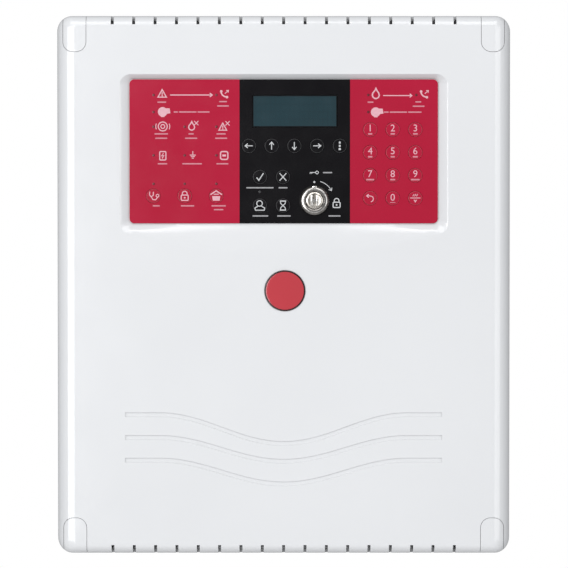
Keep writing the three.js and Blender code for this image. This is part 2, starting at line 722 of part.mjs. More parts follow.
function supplyCage() {
  const [x0, x1] = SUPPLY.x;
  const [z0, z1] = SUPPLY.z;
  const rear = -WALL - FIT;
  const shell = cut(
    box(SUPPLY.x, [rear, SUPPLY.front], SUPPLY.z),
    box([x0 + 1.2, x1 - 1.2], [rear + 1, SUPPLY.front + 1.2], [z0 + 1.2, z1 - 1.2]),
  );
  const slots = [0, 1, 2, 3, 4, 5, 6].map((i) => {
    const z = z0 + 18 + 14 * i;
    return box([x0 + 14, x1 - 14], [SUPPLY.front - 1, SUPPLY.front + 3], [z - 2.5, z + 2.5]);
  });
  return cut(shell, ...slots);
}

function supplyBoard() {
  const [x0, x1] = SUPPLY.x;
  const [z0, z1] = SUPPLY.z;
  const bare = box([x0 + 3, x1 - 3], [-9, -9 - BOARD_THICK], [z0 + 3, z1 - 3]);
  const feet = [x0 + 8, x1 - 8].map((x) => box([x - 3, x + 3], [-WALL - FIT, -9.5], [z0 + 6, z1 - 6]));
  const transformer = box([x0 + 20, x0 + 54], [-10, -42], [z0 + 40, z0 + 76]);
  const reservoir = rod(x0 + 26, z1 - 20, 10, -10, -40, 16);
  return unite(bare, ...feet, transformer, reservoir);
}

function mainsTerminal() {
  const rear = -WALL - FIT;
  const base = box([-150, -104], [rear, -12], [84, 108]);
  const block = box([-148, -106], [-11, -24], [88, 104]);
  const mouths = [-141, -127, -113].map((x) => rod(x, 96, 3, -18, -25, 12));
  return cut(unite(base, block), ...mouths);
}

function fuseHolder() {
  const rear = -WALL - FIT;
  return unite(
    box([-98, -74], [rear, -9], [84, 108]),
    box([-96, -76], [-8, -16], [90, 102]),
    box([-99, -95], [-8, -20], [91, 101]),
    box([-77, -73], [-8, -20], [91, 101]),
  );
}

const TERMINAL = { offset: 58, y: -58, w: 6.3, t: 0.9, h: 6 };

function battery(sx) {
  const x0 = sx * BATTERY.x - BATTERY.w / 2;
  const x1 = x0 + BATTERY.w;
  const [rear, front] = [BATTERY.rear, BATTERY.rear - BATTERY.d];
  const body = box([x0, x1], [rear, front], [BATTERY.bottom, BATTERY_TOP - 6]);
  const lid = box([x0 + 1, x1 - 1], [rear - 1, front + 1], [BATTERY_TOP - 7, BATTERY_TOP - 1.5]);
  const raised = box([x0 + 26, x1 - 26], [rear - 6, front + 6], [BATTERY_TOP - 2, BATTERY_TOP]);
  const tabs = [-1, 1].map((side) => {
    const x = sx * BATTERY.x + side * TERMINAL.offset;
    return box(
      [x - TERMINAL.w / 2, x + TERMINAL.w / 2],
      [TERMINAL.y, TERMINAL.y + TERMINAL.t],
      [BATTERY_TOP - 2, BATTERY_TOP + TERMINAL.h],
    );
  });
  return unite(body, lid, raised, ...tabs);
}

// a steel strap across both batteries, its ends turned back to the floor of the box
function batteryStrap() {
  const front = BATTERY.rear - BATTERY.d - FIT;
  const half = BATTERY.x + BATTERY.w / 2 + 1;
  const z = [-136, -118];
  return unite(
    box([-half - 1.2, half + 1.2], [front, front - 1.2], z),
    ...[-1, 1].map((sx) => box([sx * half, sx * (half + 1.2)], [-WALL - FIT, front], z)),
  );
}

// leads with a push-on sleeve over the battery tab at one end
const SLEEVE = { w: 8.4, d: 3.4, h: 11 };
const LEAD_R = 1.25;
function sleeve(x) {
  const z0 = BATTERY_TOP + 0.2;
  const y = TERMINAL.y + TERMINAL.t / 2;
  const outside = box(
    [x - SLEEVE.w / 2, x + SLEEVE.w / 2],
    [y - SLEEVE.d / 2, y + SLEEVE.d / 2],
    [z0, z0 + SLEEVE.h],
  );
  const hole = box(
    [x - TERMINAL.w / 2 - FIT, x + TERMINAL.w / 2 + FIT],
    [y - TERMINAL.t / 2 - FIT, y + TERMINAL.t / 2 + FIT],
    [z0 - 1, z0 + 7],
  );
  return cut(outside, hole);
}

// from a battery tab to the mouth of one way of the lower terminal row
function batteryLead(x, way) {
  const y = TERMINAL.y + TERMINAL.t / 2;
  const top = BATTERY_TOP + SLEEVE.h;
  const mouth = mouthX(TERMINALS.x[0], way);
  const mouthY = MAIN_BOARD.rear - BOARD_THICK - FIT - 3.8;
  const boardEdge = MAIN_BOARD.z[0];
  const across = Math.sign(mouth - x) * 6;
  const route = [
    [x, y, top - 2],
    [x, y, top + 2],
    [x + across, y + 5, top + 4.5],
    [(x + mouth) / 2, (y + mouthY) / 2, top + 3],
    [mouth - across / 2, mouthY - 2, boardEdge - 6],
    [mouth, mouthY, boardEdge - 3],
    [mouth, mouthY, boardEdge + 3.5],
  ];
  return unite(sleeve(x), sweep(route, roundSection(LEAD_R, 6), 16));
}

function batteryLink() {
  const x = BATTERY.x - TERMINAL.offset;
  const y = TERMINAL.y + TERMINAL.t / 2;
  const top = BATTERY_TOP + SLEEVE.h;
  const route = [
    [-x, y, top - 2],
    [-x, y, top + 3],
    [-x * 0.6, y + 2, top + 7],
    [x * 0.6, y + 2, top + 7],
    [x, y, top + 3],
    [x, y, top - 2],
  ];
  return unite(sleeve(-x), sleeve(x), sweep(route, roundSection(LEAD_R, 6), 14));
}

// the flat cable from the main board to the keypad board, looped past the hinge
function ribbonCable() {
  const boardFront = MAIN_BOARD.rear - BOARD_THICK;
  const start = [MAIN_BOARD.x[0] + 9.5, boardFront - 9.6];
  const end = [-102, KEYPAD_BOARD_FRONT + BOARD_THICK + 8.6];
  const path = [
    [start[0], start[1]],
    [start[0] - 6, start[1] - 6],
    [-96, -52.6],
    [-128, -53],
    [-147, -57],
    [-149.5, -66],
    [-141, -75],
    [-122, -78.5],
    [-107, -80],
    [end[0], end[1]],
  ];
  const curve = new THREE.SplineCurve(path.map(([x, y]) => new THREE.Vector2(x, y)));
  const steps = 18;
  const half = 0.5;
  const [left, right] = [[], []];
  for (let i = 0; i <= steps; i++) {
    const p = curve.getPoint(i / steps);
    const t = curve.getTangent(i / steps);
    left.push([p.x - t.y * half, p.y + t.x * half]);
    right.push([p.x + t.y * half, p.y - t.x * half]);
  }
  const made = new THREE.ExtrudeGeometry(polygon([...left, ...right.reverse()]), {
    depth: 33,
    bevelEnabled: false,
  });
  made.translate(0, 0, 73.5);
  return solid(made);
}

// ---------------------------------------------------------------- assembly
addPiece("rear_box", rearBox(), "white");
addPiece("front_cover", frontCover(), "white");
for (const [i, z] of HINGE.z.entries()) {
  const name = i === 0 ? "hinge_pin_upper" : "hinge_pin_lower";
  addPiece(name, post(HINGE.x, HINGE.y, HINGE.pinR, z - KNUCKLE.pinHalf, z + KNUCKLE.pinHalf, 10), "steel");
}
for (const [name, sx, sz] of CORNERS) {
  addPiece(`corner_cap_${name}`, cornerCap(sx, sz), "white");
  addPiece(`cover_screw_${name}`, coverScrew(sx, sz), "steel");
}

addPiece("fascia_film", fasciaFilm(), "red");
addPiece("keypad_carrier", keypadCarrier(), "dark");
addPiece("keypad_board", keypadBoard(), "board");
addPiece("display_module", displayModule(), "dark");
addPiece("display_window", displayWindow(), "glass");
for (const key of keys) addPiece(key.name, keyDisc(key), key.look);
addPiece("emblem", emblem(), "red");

addPiece("key_switch_body", lockBody(), "steel");
addPiece("key_switch_rotor", lockRotor(), "steel");
addPiece("key_switch_nut", lockNut(), "steel");
addPiece("key_switch_contacts", lockContacts(), "dark");

addPiece("main_board", mainBoard(), "board");
addPiece("terminal_row_upper", terminalRow(...TERMINALS.x, MAIN_BOARD.z[1] - WAY.reach, 1), "green");
addPiece("terminal_row_lower", terminalRow(...TERMINALS.x, MAIN_BOARD.z[0] + WAY.reach, -1), "green");
addPiece("power_supply_cage", supplyCage(), "steel");
addPiece("power_supply_board", supplyBoard(), "board");
addPiece("mains_terminal", mainsTerminal(), "grey");
addPiece("fuse_holder", fuseHolder(), "dark");
addPiece("battery_left", battery(-1), "dark");
addPiece("battery_right", battery(1), "dark");
addPiece("battery_strap", batteryStrap(), "steel");
addPiece("battery_lead_red", batteryLead(BATTERY.x + TERMINAL.offset, 20), "red");
addPiece("battery_lead_black", batteryLead(-BATTERY.x - TERMINAL.offset, 0), "dark");
addPiece("battery_link", batteryLink(), "dark");
addPiece("ribbon_cable", ribbonCable(), "grey");

export default panel;
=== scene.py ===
"""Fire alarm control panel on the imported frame: finished surfaces, fine detail, camera and studio light.

Lengths in the drawing functions are millimetres in the frame's own axes: X to the right, the wall at
y = 0, the front facing -Y, Z up. They become metres when a mesh is made. The places of the pieces come
from the boxes of the frame's nodes.
"""

import math

import bmesh
import bpy
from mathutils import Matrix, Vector


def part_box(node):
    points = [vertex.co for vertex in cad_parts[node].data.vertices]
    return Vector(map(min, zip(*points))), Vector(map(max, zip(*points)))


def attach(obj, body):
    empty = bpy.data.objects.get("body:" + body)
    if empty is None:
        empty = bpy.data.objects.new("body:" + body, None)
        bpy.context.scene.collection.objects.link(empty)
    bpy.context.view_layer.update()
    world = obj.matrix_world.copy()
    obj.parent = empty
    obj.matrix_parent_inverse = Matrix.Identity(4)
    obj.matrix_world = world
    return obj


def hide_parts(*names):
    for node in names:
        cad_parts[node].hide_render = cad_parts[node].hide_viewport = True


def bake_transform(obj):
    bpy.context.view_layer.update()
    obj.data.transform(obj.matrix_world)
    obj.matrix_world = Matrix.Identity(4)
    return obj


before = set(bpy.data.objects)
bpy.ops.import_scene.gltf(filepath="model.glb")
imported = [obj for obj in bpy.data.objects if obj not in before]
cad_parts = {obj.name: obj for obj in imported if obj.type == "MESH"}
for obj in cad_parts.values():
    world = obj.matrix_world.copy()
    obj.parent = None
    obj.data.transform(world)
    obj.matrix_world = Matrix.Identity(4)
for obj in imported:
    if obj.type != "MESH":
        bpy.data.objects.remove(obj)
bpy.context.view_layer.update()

MM = 0.001
ARC = 10  # steps in a quarter turn of a rounded corner


# ---------------------------------------------------------------- places taken from the frame
def limits(node):
    """The node's x, y and z ranges in millimetres."""
    low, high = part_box(node)
    return [(low[i] / MM, high[i] / MM) for i in range(3)]


def middle(node):
    """The centre of the node in the front view."""
    across, _, up = limits(node)
    return (across[0] + across[1]) / 2, (up[0] + up[1]) / 2


def front_of(node):
    """The depth of the node's front."""
    return limits(node)[1][0]


def rear_of(node):
    """The depth of the node's rear."""
    return limits(node)[1][1]


COVER_X, COVER_Y, COVER_Z = limits("front_cover")
HALF_W = COVER_X[1]
HALF_H = COVER_Z[1]
FACE = COVER_Y[0]
WALL = 2.5
CORNER_R = 11
FIT = 0.3
FILM_FRONT = front_of("fascia_film")
FILM_REAR = rear_of("fascia_film")
RECESS_FLOOR = FILM_REAR + FIT
BOX_RIM = -60
COVER_REAR = BOX_RIM - 2
HINGE = {"x": middle("hinge_pin_upper")[0], "y": BOX_RIM - 0.5, "r": 2.9}


# ---------------------------------------------------------------- camera
def add_camera():
    """A long lens almost square to the front, a little above its middle."""
    distance = 2300
    pitch = math.radians(1.6)
    aim = Vector((0.25, FACE, 0.9)) * MM
    data = bpy.data.cameras.new("camera")
    data.sensor_width = 36
    data.lens = 36 * distance / 405.0
    camera = bpy.data.objects.new("camera", data)
    bpy.context.scene.collection.objects.link(camera)
    away = Vector((0, -math.cos(pitch), math.sin(pitch)))
    camera.location = aim + away * distance * MM
    camera.rotation_euler = (math.radians(90) - pitch, 0, 0)
    bpy.context.scene.camera = camera


add_camera()


# ---------------------------------------------------------------- outlines in the front view
def rounded(x0, x1, z0, z1, r, steps=ARC):
    """A rectangle with round corners, counter-clockwise from the lower left corner."""
    centres = [(x0 + r, z0 + r), (x1 - r, z0 + r), (x1 - r, z1 - r), (x0 + r, z1 - r)]
    points = []
    for quarter, (cx, cz) in enumerate(centres):
        for i in range(steps + 1):
            turn = math.pi * (1 + quarter / 2 + i / steps / 2)
            points.append((cx + r * math.cos(turn), cz + r * math.sin(turn)))
    return points


def circle(x, z, r, steps=40):
    """A round outline, counter-clockwise."""
    turns = [2 * math.pi * i / steps for i in range(steps)]
    return [(x + r * math.cos(t), z + r * math.sin(t)) for t in turns]


def arc(x, z, r, start, end, steps=12):
    """Part of a circle, with its ends in degrees from +X towards +Z."""
    turns = [math.radians(start + (end - start) * i / steps) for i in range(steps + 1)]
    return [(x + r * math.cos(t), z + r * math.sin(t)) for t in turns]


def grown(points, distance):
    """A counter-clockwise outline moved outwards, or inwards by a negative distance."""
    count = len(points)
    moved = []
    for i, (x, z) in enumerate(points):
        before = Vector(points[i]) - Vector(points[i - 1])
        after = Vector(points[(i + 1) % count]) - Vector(points[i])
        if before.length < 1e-9 or after.length < 1e-9:
            before = after = before if before.length > after.length else after
        sides = [Vector((side.y, -side.x)).normalized() for side in (before, after)]
        out = (sides[0] + sides[1]).normalized()
        reach = distance / max(0.5, out.dot(sides[0]))
        moved.append((x + out.x * reach, z + out.y * reach))
    return moved


def at(points, y):
    """The outline at one depth."""
    return [(x, y, z) for x, z in points]


# ---------------------------------------------------------------- meshes
class Form:
    """Vertices and faces of one piece, in millimetres. A face keeps the number of its material."""

    def __init__(self):
        self.points = []
        self.faces = []
        self.kinds = []
        self.kind = 0
        self.prints = 0

    def ring(self, points):
        """New vertices, and their indices."""
        first = len(self.points)
        self.points.extend(points)
        return list(range(first, len(self.points)))

    def face(self, indices):
        self.faces.append(tuple(indices))
        self.kinds.append(self.kind)

    def span(self, near, far):
        """The band of faces between two rings."""
        for i in range(len(near)):
            j = (i + 1) % len(near)
            self.face((near[i], near[j], far[j], far[i]))

    def loft(self, rings):
        """Rings joined one to the next, closed by a face at each end."""
        made = [self.ring(points) for points in rings]
        for near, far in zip(made, made[1:]):
            self.span(near, far)
        self.face(reversed(made[0]))
        self.face(made[-1])
        return self

    def hoop(self, rings):
        """Rings joined one to the next and the last back to the first."""
        made = [self.ring(points) for points in rings]
        for near, far in zip(made, made[1:] + made[:1]):
            self.span(near, far)
        return self

    def plate(self, outline, rear, front, chamfer=0.3):
        """An outline made solid from rear to front, with its front edge broken."""
        rings = [at(outline, rear), at(outline, front + chamfer)]
        rings.append(at(grown(outline, -0.35 * chamfer), front + 0.35 * chamfer))
        rings.append(at(grown(outline, -chamfer), front))
        return self.loft(rings)

    def turned(self, x, z, profile, steps=40):
        """A solid of revolution about an axis along Y: (radius, y) from one end to the other."""
        return self.loft([at(circle(x, z, max(r, 0.01), steps), y) for r, y in profile])

    def post(self, x, y, r, z0, z1, steps=24, chamfer=0.0):
        """An upright round bar."""
        rings = []
        for radius, z in [(r - chamfer, z0), (r, z0 + chamfer), (r, z1 - chamfer), (r - chamfer, z1)]:
            rings.append([(px, py, z) for px, py in circle(x, y, radius, steps)])
        return self.loft(rings if chamfer else rings[1:3])

    def block(self, xs, ys, zs, r=0.4):
        """A box with its edges broken by r; r = 0 leaves them sharp."""
        (x0, x1), (y0, y1), (z0, z1) = sorted(xs), sorted(ys), sorted(zs)
        if r <= 0:
            outline = [(x0, z0), (x1, z0), (x1, z1), (x0, z1)]
            return self.loft([at(outline, y1), at(outline, y0)])
        middle_ring = rounded(x0, x1, z0, z1, r, 3)
        small = grown(middle_ring, -r * 0.9)
        waist = grown(middle_ring, -r * 0.25)
        rings = [at(small, y1), at(waist, y1 - r * 0.3), at(middle_ring, y1 - r)]
        rings += [at(middle_ring, y0 + r), at(waist, y0 + r * 0.3), at(small, y0)]
        return self.loft(rings)

    def tube(self, path, r, steps=12):
        """A round bar along a path of points."""
        path = [Vector(p) for p in path]
        side = Vector((0, 0, 1)).cross(path[1] - path[0])
        side = side.normalized() if side.length > 1e-6 else Vector((1, 0, 0))
        rings = []
        for i, point in enumerate(path):
            along = (path[min(i + 1, len(path) - 1)] - path[max(i - 1, 0)]).normalized()
            side = (side - along * side.dot(along)).normalized()
            other = along.cross(side)
            turns = [2 * math.pi * k / steps for k in range(steps)]
            ring = [point + (side * math.cos(t) + other * math.sin(t)) * r for t in turns]
            rings.append([tuple(p) for p in ring])
        return self.loft(rings)

    def layer(self, y):
        """The height of the next print, so that prints that overlap don't share a plane."""
        self.prints += 1
        return y - 0.004 * (self.prints % 8)

    def flat(self, outline, y):
        """A printed area that faces the front."""
        self.face(self.ring(at(outline, self.layer(y))))
        return self

    def line(self, points, width, y, closed=False):
        """A printed line of constant width with mitred corners."""
        y = self.layer(y)
        count = len(points)
        sides = []
        for i in range(count):
            before = points[i - 1] if i or closed else points[i]
            after = points[(i + 1) % count] if i < count - 1 or closed else points[i]
            here = Vector(points[i])
            into = (here - Vector(before)).normalized()
            out = (Vector(after) - here).normalized()
            if into.length < 0.5:
                into = out
            if out.length < 0.5:
                out = into
            normal = Vector((-into.y - out.y, into.x + out.x)).normalized()
            reach = width / 2 / max(0.45, normal.dot(Vector((-into.y, into.x))))
            sides.append((here + normal * reach, here - normal * reach))
        left = self.ring([(a.x, y, a.y) for a, _ in sides])
        right = self.ring([(b.x, y, b.y) for _, b in sides])
        for i in range(count if closed else count - 1):
            j = (i + 1) % count
            self.face((left[i], right[i], right[j], left[j]))
        return self

    def digit(self, text, x, z, size, y):
        """A numeral centred on (x, z), taken from Blender's own font."""
        curve = bpy.data.curves.new("numeral", "FONT")
        curve.body = text
        curve.size = size
        curve.resolution_u = 4
        holder = bpy.data.objects.new("numeral", curve)
        bpy.context.scene.collection.objects.link(holder)
        bpy.context.view_layer.update()
        graph = bpy.context.evaluated_depsgraph_get()
        drawn = bpy.data.meshes.new_from_object(holder.evaluated_get(graph))
        bpy.data.objects.remove(holder)
        xs = [v.co.x for v in drawn.vertices]
        zs = [v.co.y for v in drawn.vertices]
        shift_x = x - (min(xs) + max(xs)) / 2
        shift_z = z - (min(zs) + max(zs)) / 2
        used = self.ring([(v.co.x + shift_x, y, v.co.y + shift_z) for v in drawn.vertices])
        for polygon in drawn.polygons:
            self.face([used[i] for i in polygon.vertices])
        bpy.data.meshes.remove(drawn)
        return self

    def mesh(self, name, outward=True):
        """The finished mesh in metres. outward makes all faces of the closed bodies point out."""
        data = bpy.data.meshes.new(name)
        data.from_pydata([(x * MM, y * MM, z * MM) for x, y, z in self.points], [], self.faces)
        data.polygons.foreach_set("material_index", self.kinds)
        working = bmesh.new()
        working.from_mesh(data)
        if outward:
            bmesh.ops.recalc_face_normals(working, faces=working.faces)
        working.to_mesh(data)
        working.free()
        return data


def placed(name, data):
    """A new object for the mesh, at the origin."""
    made = bpy.data.objects.new(name, data)
    bpy.context.scene.collection.objects.link(made)
    return made


def smooth(piece, angle=32, weighted=False):
    """Smooth shading with the edges sharper than the angle kept."""
    piece.data.shade_smooth()
    piece.data.set_sharp_from_angle(angle=math.radians(angle))
    if weighted:
        keeper = piece.modifiers.new("flat faces stay flat", "WEIGHTED_NORMAL")
        keeper.keep_sharp = True
        keeper.weight = 80
    return piece


def carve(form, name, steps):
    """The form with other forms added to it or cut from it, in order, as a mesh."""
    base = placed(name, form.mesh(name))
    helpers = []
    for operation, other in steps:
        helper = placed("helper", other.mesh("helper"))
        modifier = base.modifiers.new("step", "BOOLEAN")
        modifier.operation = operation
        modifier.object = helper
        modifier.solver = "MANIFOLD"
        helpers.append(helper)
    bpy.context.view_layer.update()
    graph = bpy.context.evaluated_depsgraph_get()
    result = bpy.data.meshes.new_from_object(base.evaluated_get(graph))
    result.materials.clear()
    for used in [base, *helpers]:
        bpy.data.objects.remove(used)
    return result


ADD = "UNION"
CUT = "DIFFERENCE"
KEEP = "INTERSECT"


def finish_piece(name, data, looks, body, stands_for=(), angle=32, weighted=False):
    """One visible piece: its materials, the body it rides on, and the nodes it stands for."""
    piece = placed(name, data)
    for look in looks:
        piece.data.materials.append(look)
    smooth(piece, angle, weighted)
    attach(piece, body)
    if stands_for:
        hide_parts(*stands_for)
    return piece


# ---------------------------------------------------------------- materials
class Look:
    """A material that is built up node by node on the object's own coordinates."""

    def __init__(self, name, roughness=0.4, metallic=0.0, coat=0.0, specular=0.5):
        self.material = bpy.data.materials.new(name)
        self.material.use_nodes = True
        self.tree = self.material.node_tree
        self.shader = self.tree.nodes["Principled BSDF"]
        self.shader.inputs["Metallic"].default_value = metallic
        self.shader.inputs["Roughness"].default_value = roughness
        self.shader.inputs["Specular IOR Level"].default_value = specular
        self.shader.inputs["Coat Weight"].default_value = coat
        self.shader.inputs["Coat Roughness"].default_value = 0.08
        self.where = self.tree.nodes.new("ShaderNodeTexCoord").outputs["Object"]

    def node(self, kind, **values):
        made = self.tree.nodes.new(kind)
        for key, value in values.items():
            setattr(made, key, value)
        return made

    def join(self, source, target):
        self.tree.links.new(source, target)

    def put(self, socket, value):
        """Link a socket, or set a plain value."""
        if isinstance(value, bpy.types.NodeSocket):
            self.join(value, socket)
        else:
            socket.default_value = value

    def maths(self, operation, first, second=0.0):
        """One step of arithmetic on sockets or numbers."""
        made = self.node("ShaderNodeMath", operation=operation)
        self.put(made.inputs[0], first)
        self.put(made.inputs[1], second)
        return made.outputs[0]

    def noise(self, scale, detail=3.0, stretch=None):
        """Cloudy variation from 0 to 1, drawn out along an axis by stretch."""
        made = self.node("ShaderNodeTexNoise")
        made.inputs["Scale"].default_value = scale
        made.inputs["Detail"].default_value = detail
        source = self.where
        if stretch:
            mapping = self.node("ShaderNodeMapping")
            mapping.inputs["Scale"].default_value = stretch
            self.join(self.where, mapping.inputs["Vector"])
            source = mapping.outputs["Vector"]
        self.join(source, made.inputs["Vector"])
        return made.outputs["Fac"]

    def cells(self, scale, feature="F1", output="Distance"):
        """A net of irregular cells."""
        made = self.node("ShaderNodeTexVoronoi", feature=feature)
        made.inputs["Scale"].default_value = scale
        self.join(self.where, made.inputs["Vector"])
        return made.outputs[output]

    def spread(self, value, low, high, start=0.3, end=0.7):
        """The value's range from start to end, stretched from low to high."""
        made = self.node("ShaderNodeMapRange")
        self.join(value, made.inputs["Value"])
        for key, number in (("From Min", start), ("From Max", end), ("To Min", low), ("To Max", high)):
            made.inputs[key].default_value = number
        return made.outputs["Result"]

    def mix(self, share, first, second):
        """The first colour turning into the second as share goes from 0 to 1."""
        made = self.node("ShaderNodeMix", data_type="RGBA")
        self.put(made.inputs[0], share)
        for socket, value in ((made.inputs[6], first), (made.inputs[7], second)):
            self.put(socket, (*value, 1) if isinstance(value, tuple) else value)
        return made.outputs[2]

    def axis(self, letter):
        """One coordinate of the point, in metres."""
        made = self.node("ShaderNodeSeparateXYZ")
        self.join(self.where, made.inputs[0])
        return made.outputs[letter]

    def colour(self, value):
        self.put(self.shader.inputs["Base Color"], value)
        return self

    def rough(self, scale, low, high):
        """Uneven gloss."""
        self.join(self.spread(self.noise(scale, 4), low, high), self.shader.inputs["Roughness"])
        return self

    def bump(self, height, strength, depth):
        """Relief with the given depth in millimetres."""
        made = self.node("ShaderNodeBump")
        made.inputs["Strength"].default_value = strength
        made.inputs["Distance"].default_value = depth * MM
        self.join(height, made.inputs["Height"])
        self.join(made.outputs["Normal"], self.shader.inputs["Normal"])
        return self

    def hollow_dust_and_shade(self, bare_colour, dust_and_shade_colour, reach=4.0, most=0.5):
        """The bare colour, turned in patches towards the second colour where ambient occlusion finds corners
        and gaps: painted shade where that colour is darker, dust where it is lighter.
        """
        shade = self.node("ShaderNodeAmbientOcclusion", samples=6)
        shade.inputs["Distance"].default_value = reach * MM
        share = self.spread(shade.outputs["AO"], most, 0.0, 0.35, 0.9)
        patchy = self.maths("MULTIPLY", share, self.spread(self.noise(90), 0.5, 1.0))
        return self.mix(patchy, bare_colour, dust_and_shade_colour)


def plastic(name, colour, second, rough=(0.24, 0.34), grain=1800, dust_and_shade_colour=None, depth=0.02, coat=0.0,
            specular=0.5):
    """Moulded plastic: faint flow marks, a fine spark-eroded grain and uneven gloss."""
    look = Look(name, coat=coat, specular=specular)
    body = look.mix(look.spread(look.noise(7, 2), 0, 1), colour, second)
    # painted shade: ambient occlusion darkens corners and gaps towards the given colour; on the battery case
    # that colour is lighter and stands for dust
    if dust_and_shade_colour:
        body = look.hollow_dust_and_shade(body, dust_and_shade_colour)
    look.colour(body).rough(35, *rough)
    look.bump(look.noise(grain, 2), 0.35, depth)
    return look.material


def metal(name, colour, second, rough=(0.2, 0.4), grain=(1, 1, 1), spangle=0.0):
    """Metal with a fine directional grain, and zinc crystals where spangle is above 0."""
    look = Look(name, metallic=1.0)
    share = look.spread(look.noise(300, 3, grain), 0, 1)
    body = look.mix(share, colour, second)
    if spangle:
        body = look.mix(look.spread(look.cells(spangle, output="Color"), 0, 0.6, 0, 1), body, second)
    # painted shade: ambient occlusion darkens corners and gaps to a third of the metal's colour
    look.colour(look.hollow_dust_and_shade(body, tuple(c * 0.35 for c in colour), 2.5)).rough(120, *rough)
    look.bump(look.noise(900, 3, grain), 0.25, 0.03)
    return look.material


WHITE = (0.665, 0.675, 0.69)
WHITE_2 = (0.645, 0.655, 0.67)
RED = (0.375, 0.009, 0.036)
RED_2 = (0.345, 0.008, 0.030)
BLACK = (0.002, 0.0015, 0.0026)
BLACK_2 = (0.0015, 0.0012, 0.002)
PANEL_X = (-31.5, 47.4)  # the black area of the film


def film_look():
    """Screen-printed film: red, with a black area in the middle, under a satin clear coat."""
    look = Look("fascia_print", specular=0.25)
    across = look.axis("X")
    cloud = look.spread(look.noise(9, 2), 0, 1)
    red = look.mix(cloud, RED, RED_2)
    black = look.mix(cloud, BLACK, BLACK_2)
    right = look.maths("GREATER_THAN", across, PANEL_X[0] * MM)
    left = look.maths("LESS_THAN", across, PANEL_X[1] * MM)
    look.colour(look.mix(look.maths("MULTIPLY", right, left), red, black)).rough(60, 0.13, 0.2)
    look.bump(look.noise(2600, 2), 0.3, 0.012)
    return look.material


def key_look(name, colour, second):
    """A key's printed face, a little shinier where fingers have polished it."""
    look = Look(name, specular=0.25)
    look.colour(look.mix(look.spread(look.noise(14), 0, 1), colour, second)).rough(160, 0.12, 0.24)
    look.bump(look.noise(2600, 2), 0.3, 0.012)
    return look.material


def ink_look(name, colour, second):
    """Screen-printed ink, slightly matt and uneven."""
    look = Look(name, roughness=0.5)
    look.colour(look.mix(look.spread(look.noise(700), 0, 1), colour, second)).rough(400, 0.42, 0.6)
    look.bump(look.noise(3000, 2), 0.2, 0.01)
    return look.material


def display_look():
    """Dark teal liquid crystal with the faint cells of two text lines behind clear acrylic."""
    look = Look("display_glass", roughness=0.12, coat=0.6)
    x, z = middle("display_window")
    glass = look.mix(look.spread(look.noise(28, 2), 0, 1), (0.003, 0.025, 0.035), (0.002, 0.02, 0.028))
    cells = None
    for axis, centre, pitch, filled, reach in (("X", x, 3.4, 0.8, 27.2), ("Z", z, 5.2, 0.86, 10.4)):
        place = look.maths("SUBTRACT", look.axis(axis), centre * MM)
        turns = look.maths("FRACT", look.maths("MULTIPLY", place, 1 / (pitch * MM)))
        inside = look.maths("LESS_THAN", look.maths("ABSOLUTE", place), reach * MM)
        lit = look.maths("MULTIPLY", look.maths("LESS_THAN", turns, filled), inside)
        cells = lit if cells is None else look.maths("MULTIPLY", cells, lit)
    share = look.maths("MULTIPLY", cells, 0.35)
    look.colour(look.mix(share, glass, (0.005, 0.031, 0.041))).rough(90, 0.08, 0.16)
    look.bump(look.noise(60, 2), 0.15, 0.01)
    return look.material


def board_look():
    """Solder mask over copper: tracks show as a slightly raised, lighter net."""
    look = Look("circuit_board", coat=0.3)
    tracks = look.maths("LESS_THAN", look.cells(210, "DISTANCE_TO_EDGE"), 0.07)
    ground = look.mix(look.spread(look.noise(25), 0, 1), (0.008, 0.085, 0.035), (0.006, 0.062, 0.03))
    holes = look.maths("LESS_THAN", look.cells(420), 0.13)
    tinned = look.mix(look.maths("MULTIPLY", tracks, 0.55), ground, (0.03, 0.19, 0.075))
    # painted shade: ambient occlusion darkens the board's corners and gaps
    look.colour(look.hollow_dust_and_shade(look.mix(holes, tinned, (0.45, 0.44, 0.38)), (0.01, 0.03, 0.015), 2))
    look.rough(80, 0.28, 0.42)
    look.bump(look.maths("ADD", tracks, look.noise(600)), 0.3, 0.04)
    return look.material


def ribbon_look():
    """Flat cable: parallel insulated cores, the first one marked in red."""
    look = Look("ribbon", specular=0.4)
    up = look.axis("Z")
    high = limits("ribbon_cable")[2][1]
    wave = look.maths("SINE", look.maths("MULTIPLY", up, 2 * math.pi / (1.27 * MM)))
    # painted shade: the grooves between the cores are darker than their crowns
    body = look.mix(look.spread(wave, 0, 1, -1, 0.2), (0.21, 0.215, 0.225), (0.4, 0.405, 0.415))
    first = look.maths("GREATER_THAN", up, (high - 1.3) * MM)
    look.colour(look.mix(first, body, (0.5, 0.03, 0.03))).rough(200, 0.35, 0.5)
    look.bump(wave, 0.6, 0.25)
    return look.material


